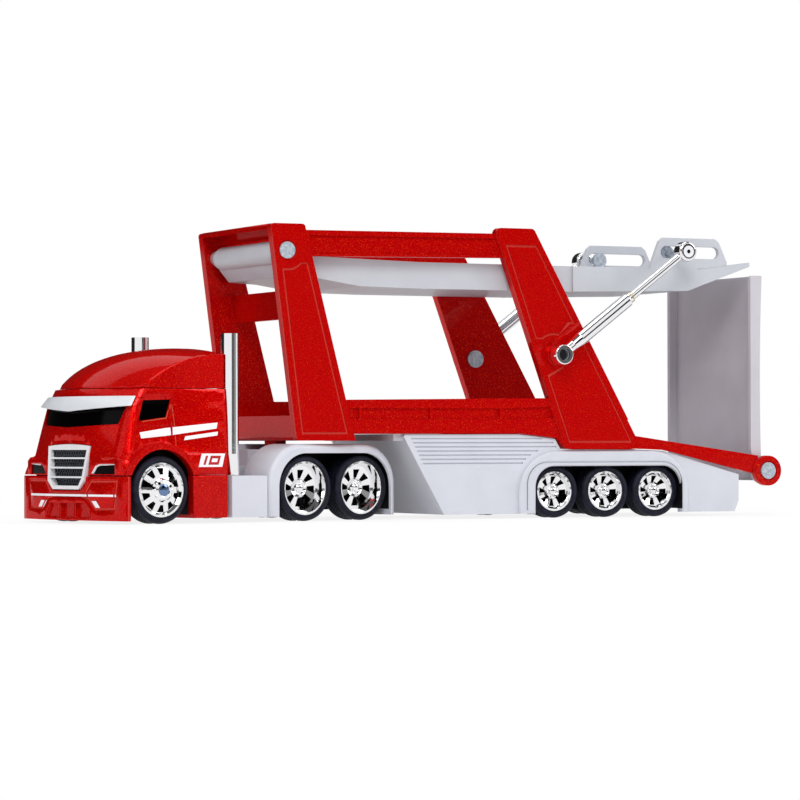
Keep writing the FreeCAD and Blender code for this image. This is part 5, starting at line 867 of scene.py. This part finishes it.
def make_mesh():
    """Two crossing sets of thin wires over the grille's dark plate."""
    shape = Shape()
    for lean in (MESH_LEAN, math.pi - MESH_LEAN):
        way = (math.cos(lean), math.sin(lean))
        across = (-way[1], way[0])
        for number in range(-MESH_LINES, MESH_LINES + 1):
            shift = number * MESH_PITCH
            origin = (across[0] * shift, MESH_MIDDLE_Z + across[1] * shift)
            stretch = clipped(origin, way, MESH_FIELD)
            if stretch is not None:
                shape.add(wire_corners(origin, way, across, stretch), BOX_FACES)
    shape.piece("grille_wires", "mesh_wire", "tractor", smooth=False)


# Struts

EYE_REACH = 1.7 * MM
EYE_BORE = 0.5
EYE_FACE = 1.45
EYE_WASHER = [(-0.1, EYE_BORE), (0.04, EYE_BORE), (0.04, EYE_FACE), (-0.1, EYE_FACE)]
EYE_FLOOR = [(-0.1, EYE_BORE), (0.0, EYE_BORE)]
BORE_STEPS = 24
BARREL_MOUTH = 24.05
COLLAR = [(0.0, 1.02), (0.0, 1.32), (0.35, 1.32), (0.35, 1.02)]
PIN_FACE = [(-0.02, 1.42), (0.03, 1.38)]


def centre_of(node):
    """The middle of a CAD node's box."""
    low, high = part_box(node)
    return (low + high) / 2


def outer_face(node, centre, side, reach):
    """How far out a node reaches near an axis across the truck."""
    outs = []
    for vertex in frame["nodes"][node].data.vertices:
        if math.hypot(vertex.co.x - centre.x, vertex.co.z - centre.z) < reach:
            outs.append(vertex.co.y * side)
    return max(outs)


def make_collar(label, foot, head):
    """The brass ring at the barrel's mouth, a fixed way up from the strut's foot."""
    run = Vector((head.x - foot.x, 0.0, head.z - foot.z)).normalized()
    collar = Shape()
    lathe(collar, Axis(foot + run * BARREL_MOUTH * MM, run), COLLAR, ROUND_STEPS, closed=True)
    collar.piece(f"strut_collar_{label}", "brass", f"strut_{label}")


def make_eye(label, side, head):
    """The bright face of the upper eye and the dark bore in it."""
    strut = f"strut_{label}"
    out = outer_face(strut, head, side, EYE_REACH)
    eye = Axis((head.x, out * side, head.z), (0, side, 0))
    face = Shape()
    lathe(face, eye, EYE_WASHER, ROUND_STEPS, closed=True)
    face.piece(f"strut_eye_face_{label}", "satin_chrome", strut)
    bore = Shape()
    lathe(bore, eye, EYE_FLOOR, BORE_STEPS, capped=True)
    bore.piece(f"strut_eye_bore_{label}", "dark_eye", strut)


def make_strut_details():
    """Collars, upper eyes and the dark faces of the lower pins."""
    pin_faces = Shape()
    pins_low, pins_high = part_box("strut_pivot_pins")
    for label, side in SIDES.items():
        foot = Vector(JOINTS[f"strut_{label}_swing"]["pos_m"])
        head = centre_of(f"slot_pin_{label}")
        make_collar(label, foot, head)
        make_eye(label, side, head)
        pin_end = pins_high.y if side > 0 else pins_low.y
        pin = Axis((foot.x, pin_end, foot.z), (0, side, 0))
        lathe(pin_faces, pin, PIN_FACE, ROUND_STEPS, capped=True)
    pin_faces.piece("strut_pin_faces", "dark_eye", "trailer")


# Bevels on the castings and mouldings, widths in millimetres

BEVELS = {
    "side_frame_left": 0.3,
    "side_frame_right": 0.3,
    "front_top_bar": 0.25,
    "front_mid_bar": 0.2,
    "neck_floor": 0.2,
    "fender_left": 0.2,
    "fender_right": 0.2,
    "tractor_chassis": 0.3,
    "lower_body": 0.3,
    "upper_deck": 0.2,
    "deck_bracket_left": 0.3,
    "deck_bracket_right": 0.3,
    "ramp": 0.2,
    "cab_shell": 0.15,
    "cab_skirt_left": 0.35,
    "cab_skirt_right": 0.35,
    "roof_fairing": 0.15,
    "front_bumper": 0.15,
    "sun_visor": 0.12,
    "grille_frame": 0.1,
}
WELD_REACH = 0.001
BEVEL_SEGMENTS = 2
BEVEL_ANGLE = math.radians(40)


def bevel_nodes():
    """Soften the edges of cast and moulded nodes."""
    for name, width in BEVELS.items():
        obj = frame["nodes"][name]
        weld = obj.modifiers.new("weld", "WELD")
        weld.merge_threshold = WELD_REACH * MM
        bevel = obj.modifiers.new("edges", "BEVEL")
        bevel.width = width * MM
        bevel.segments = BEVEL_SEGMENTS
        bevel.limit_method = "ANGLE"
        bevel.angle_limit = BEVEL_ANGLE
        bevel.use_clamp_overlap = True
        bevel.harden_normals = True


# Studio, in metres

FLOOR_SIZE = 12
FLOOR_COLOR = [0.85, 0.85, 0.85, 1.0]
FLOOR_GLOW = 0.84
FLOOR_NEAR = 0.1
FLOOR_FAR = 0.3
WORLD_LIGHT = 0.62
WORLD_SEEN = 1.0
LIGHT_TARGET = Vector((0.03, 0.0, 0.03))


def seen_directly(tree):
    """A factor that is 1 for camera, glossy and transmission rays."""
    path = tree.nodes.new("ShaderNodeLightPath").outputs
    kinds = ("Is Camera Ray", "Is Glossy Ray", "Is Transmission Ray")
    seen = path[kinds[0]]
    for kind in kinds[1:]:
        seen = operation_node(tree, "ShaderNodeMath", "MAXIMUM", seen, path[kind])[0]
    return seen


def mix_shaders(tree, share, one, two, surface):
    """Send a mix of two shaders to the output's surface."""
    mix = tree.nodes.new("ShaderNodeMixShader")
    for socket, source in zip(mix.inputs, (share, one, two)):
        tree.links.new(source, socket)
    tree.links.new(mix.outputs[0], surface)


def make_floor():
    """A pale floor that reads nearly white to the camera and keeps the truck's shadow."""
    mat, shader = material("floor_white", FLOOR_COLOR, rough=0.9, specular=0.0)
    tree = mat.node_tree
    glow = tree.nodes.new("ShaderNodeEmission")
    glow.inputs["Strength"].default_value = 1.0
    away = operation_node(tree, "ShaderNodeVectorMath", "LENGTH", object_place(tree))["Value"]
    fade = tree.nodes.new("ShaderNodeMapRange")
    fade.inputs["From Min"].default_value = FLOOR_NEAR
    fade.inputs["From Max"].default_value = FLOOR_FAR
    fade.inputs["To Min"].default_value = FLOOR_GLOW
    fade.inputs["To Max"].default_value = 1.0
    tree.links.new(away, fade.inputs["Value"])
    share = operation_node(
        tree, "ShaderNodeMath", "MULTIPLY", seen_directly(tree), fade.outputs["Result"]
    )[0]
    surface = tree.nodes["Material Output"].inputs["Surface"]
    mix_shaders(tree, share, shader.outputs[0], glow.outputs[0], surface)
    bpy.ops.mesh.primitive_plane_add(size=FLOOR_SIZE, location=(0, 0, 0))
    floor = bpy.context.object
    floor.name = "floor"
    floor.data.materials.append(mat)


def make_world():
    """White surroundings, with less light on the truck than they show."""
    world = bpy.data.worlds.new("world")
    bpy.context.scene.world = world
    world.use_nodes = True
    tree = world.node_tree
    light = tree.nodes["Background"]
    seen = tree.nodes.new("ShaderNodeBackground")
    for node, strength in ((light, WORLD_LIGHT), (seen, WORLD_SEEN)):
        node.inputs["Color"].default_value = WHITE
        node.inputs["Strength"].default_value = strength
    surface = tree.nodes["World Output"].inputs["Surface"]
    mix_shaders(tree, seen_directly(tree), light.outputs[0], seen.outputs[0], surface)


def area(name, location, size, power):
    """A soft square light aimed at the truck."""
    data = bpy.data.lights.new(name, "AREA")
    data.shape = "SQUARE"
    data.size = size
    data.energy = power
    light = bpy.data.objects.new(name, data)
    bpy.context.scene.collection.objects.link(light)
    light.location = location
    light.rotation_euler = (LIGHT_TARGET - Vector(location)).to_track_quat("-Z", "Y").to_euler()


# Dark stage that only mirrors see: start and end in degrees, low and high in metres, brightness

WALLS = {
    "low_trailer_side": {"start": 0, "end": 36, "low": -0.06, "high": 0.16, "level": 0.12},
    "low_cab_side": {"start": 36, "end": 62, "low": -0.06, "high": 0.16, "level": 0.3},
    "high_near_a": {"start": -62, "end": -34, "low": 0.16, "high": 0.75, "level": 0.0},
    "high_near_b": {"start": -20, "end": 10, "low": 0.16, "high": 0.75, "level": 0.0},
    "high_near_c": {"start": 20, "end": 50, "low": 0.16, "high": 0.75, "level": 0.0},
    "high_near_d": {"start": 62, "end": 84, "low": 0.16, "high": 0.75, "level": 0.0},
    "far_side": {"start": 105, "end": 262, "low": -0.06, "high": 1.0, "level": 0.02},
}
WALL_RADIUS = 1.6
WALL_STEPS = 12
CEILING_SIZE = 2.0
CEILING_HEIGHT = 1.35
CEILING_LEVEL = 0.12


def dark_stage(name, vertices, faces, level):
    """A dark surface that gives chrome and lacquer their dark parts."""
    mat, shader = material(f"{name}_paint", BLACK, rough=1.0, specular=0.0)
    shader.inputs["Emission Color"].default_value = WHITE
    shader.inputs["Emission Strength"].default_value = level
    mesh = bpy.data.meshes.new(name)
    mesh.from_pydata(vertices, [], faces)
    mesh.materials.append(mat)
    wall = bpy.data.objects.new(name, mesh)
    bpy.context.scene.collection.objects.link(wall)
    wall.visible_camera = False
    wall.visible_diffuse = False
    wall.visible_shadow = False


def make_wall(name, start, end, low, high, level):
    """A curved wall about the truck, between two directions and two heights."""
    vertices = []
    for step in range(WALL_STEPS + 1):
        turn = math.radians(start + (end - start) * step / WALL_STEPS)
        for height in (low, high):
            vertices.append((WALL_RADIUS * math.sin(turn), -WALL_RADIUS * math.cos(turn), height))
    faces = [[2 * step, 2 * step + 2, 2 * step + 3, 2 * step + 1] for step in range(WALL_STEPS)]
    dark_stage(name, vertices, faces, level)


def make_ceiling():
    """A dark ceiling for the lacquer of the roof."""
    half = CEILING_SIZE / 2
    corners = [(-half, -half), (half, -half), (half, half), (-half, half)]
    dark_stage("ceiling", [(x, y, CEILING_HEIGHT) for x, y in corners], [[0, 1, 2, 3]], CEILING_LEVEL)


def make_studio():
    """Floor, surroundings, lights and dark stage."""
    make_floor()
    make_world()
    area("key", location=(-0.5, -0.9, 0.8), size=0.5, power=7.0)
    area("fill", location=(0.9, -0.5, 0.5), size=0.5, power=3.0)
    area("top", location=(0.0, 0.1, 1.1), size=0.7, power=4.0)
    for name, wall in WALLS.items():
        make_wall(name, **wall)
    make_ceiling()


# Camera, from the photograph

AZIMUTH = math.radians(-25.934)
ELEVATION = math.radians(-0.7337)
ROLL = math.radians(-0.1144)
TARGET = Vector((-0.298, 3.0, 29.089)) * MM
DISTANCE = 831.079 * MM
FOCAL_PIXELS = 3361.593
IMAGE_WIDTH = 800
SENSOR = 36.0
CLIP_NEAR = 0.01
CLIP_FAR = 20


def make_camera():
    """The camera at the photograph's viewing angle."""
    back = Vector((
        math.sin(AZIMUTH) * math.cos(ELEVATION),
        -math.cos(AZIMUTH) * math.cos(ELEVATION),
        math.sin(ELEVATION),
    ))
    data = bpy.data.cameras.new("camera")
    data.sensor_width = SENSOR
    data.lens = FOCAL_PIXELS / IMAGE_WIDTH * SENSOR
    data.clip_start = CLIP_NEAR
    data.clip_end = CLIP_FAR
    camera = bpy.data.objects.new("camera", data)
    bpy.context.scene.collection.objects.link(camera)
    place = Matrix.Translation(TARGET + back * DISTANCE)
    turn = back.to_track_quat("Z", "Y").to_matrix().to_4x4()
    camera.matrix_world = place @ turn @ Matrix.Rotation(ROLL, 4, "Z")
    bpy.context.scene.camera = camera


dress_nodes()
for kind in AXLES:
    make_tyres(kind)
for kind, hub in HUBS.items():
    make_hubs(kind, hub)
make_shaded_wells()
make_seam_highlights()
make_cab_prints()
make_front_prints()
make_mesh()
make_strut_details()
bevel_nodes()
make_studio()
make_camera()
bpy.context.scene.view_settings.view_transform = "Standard"
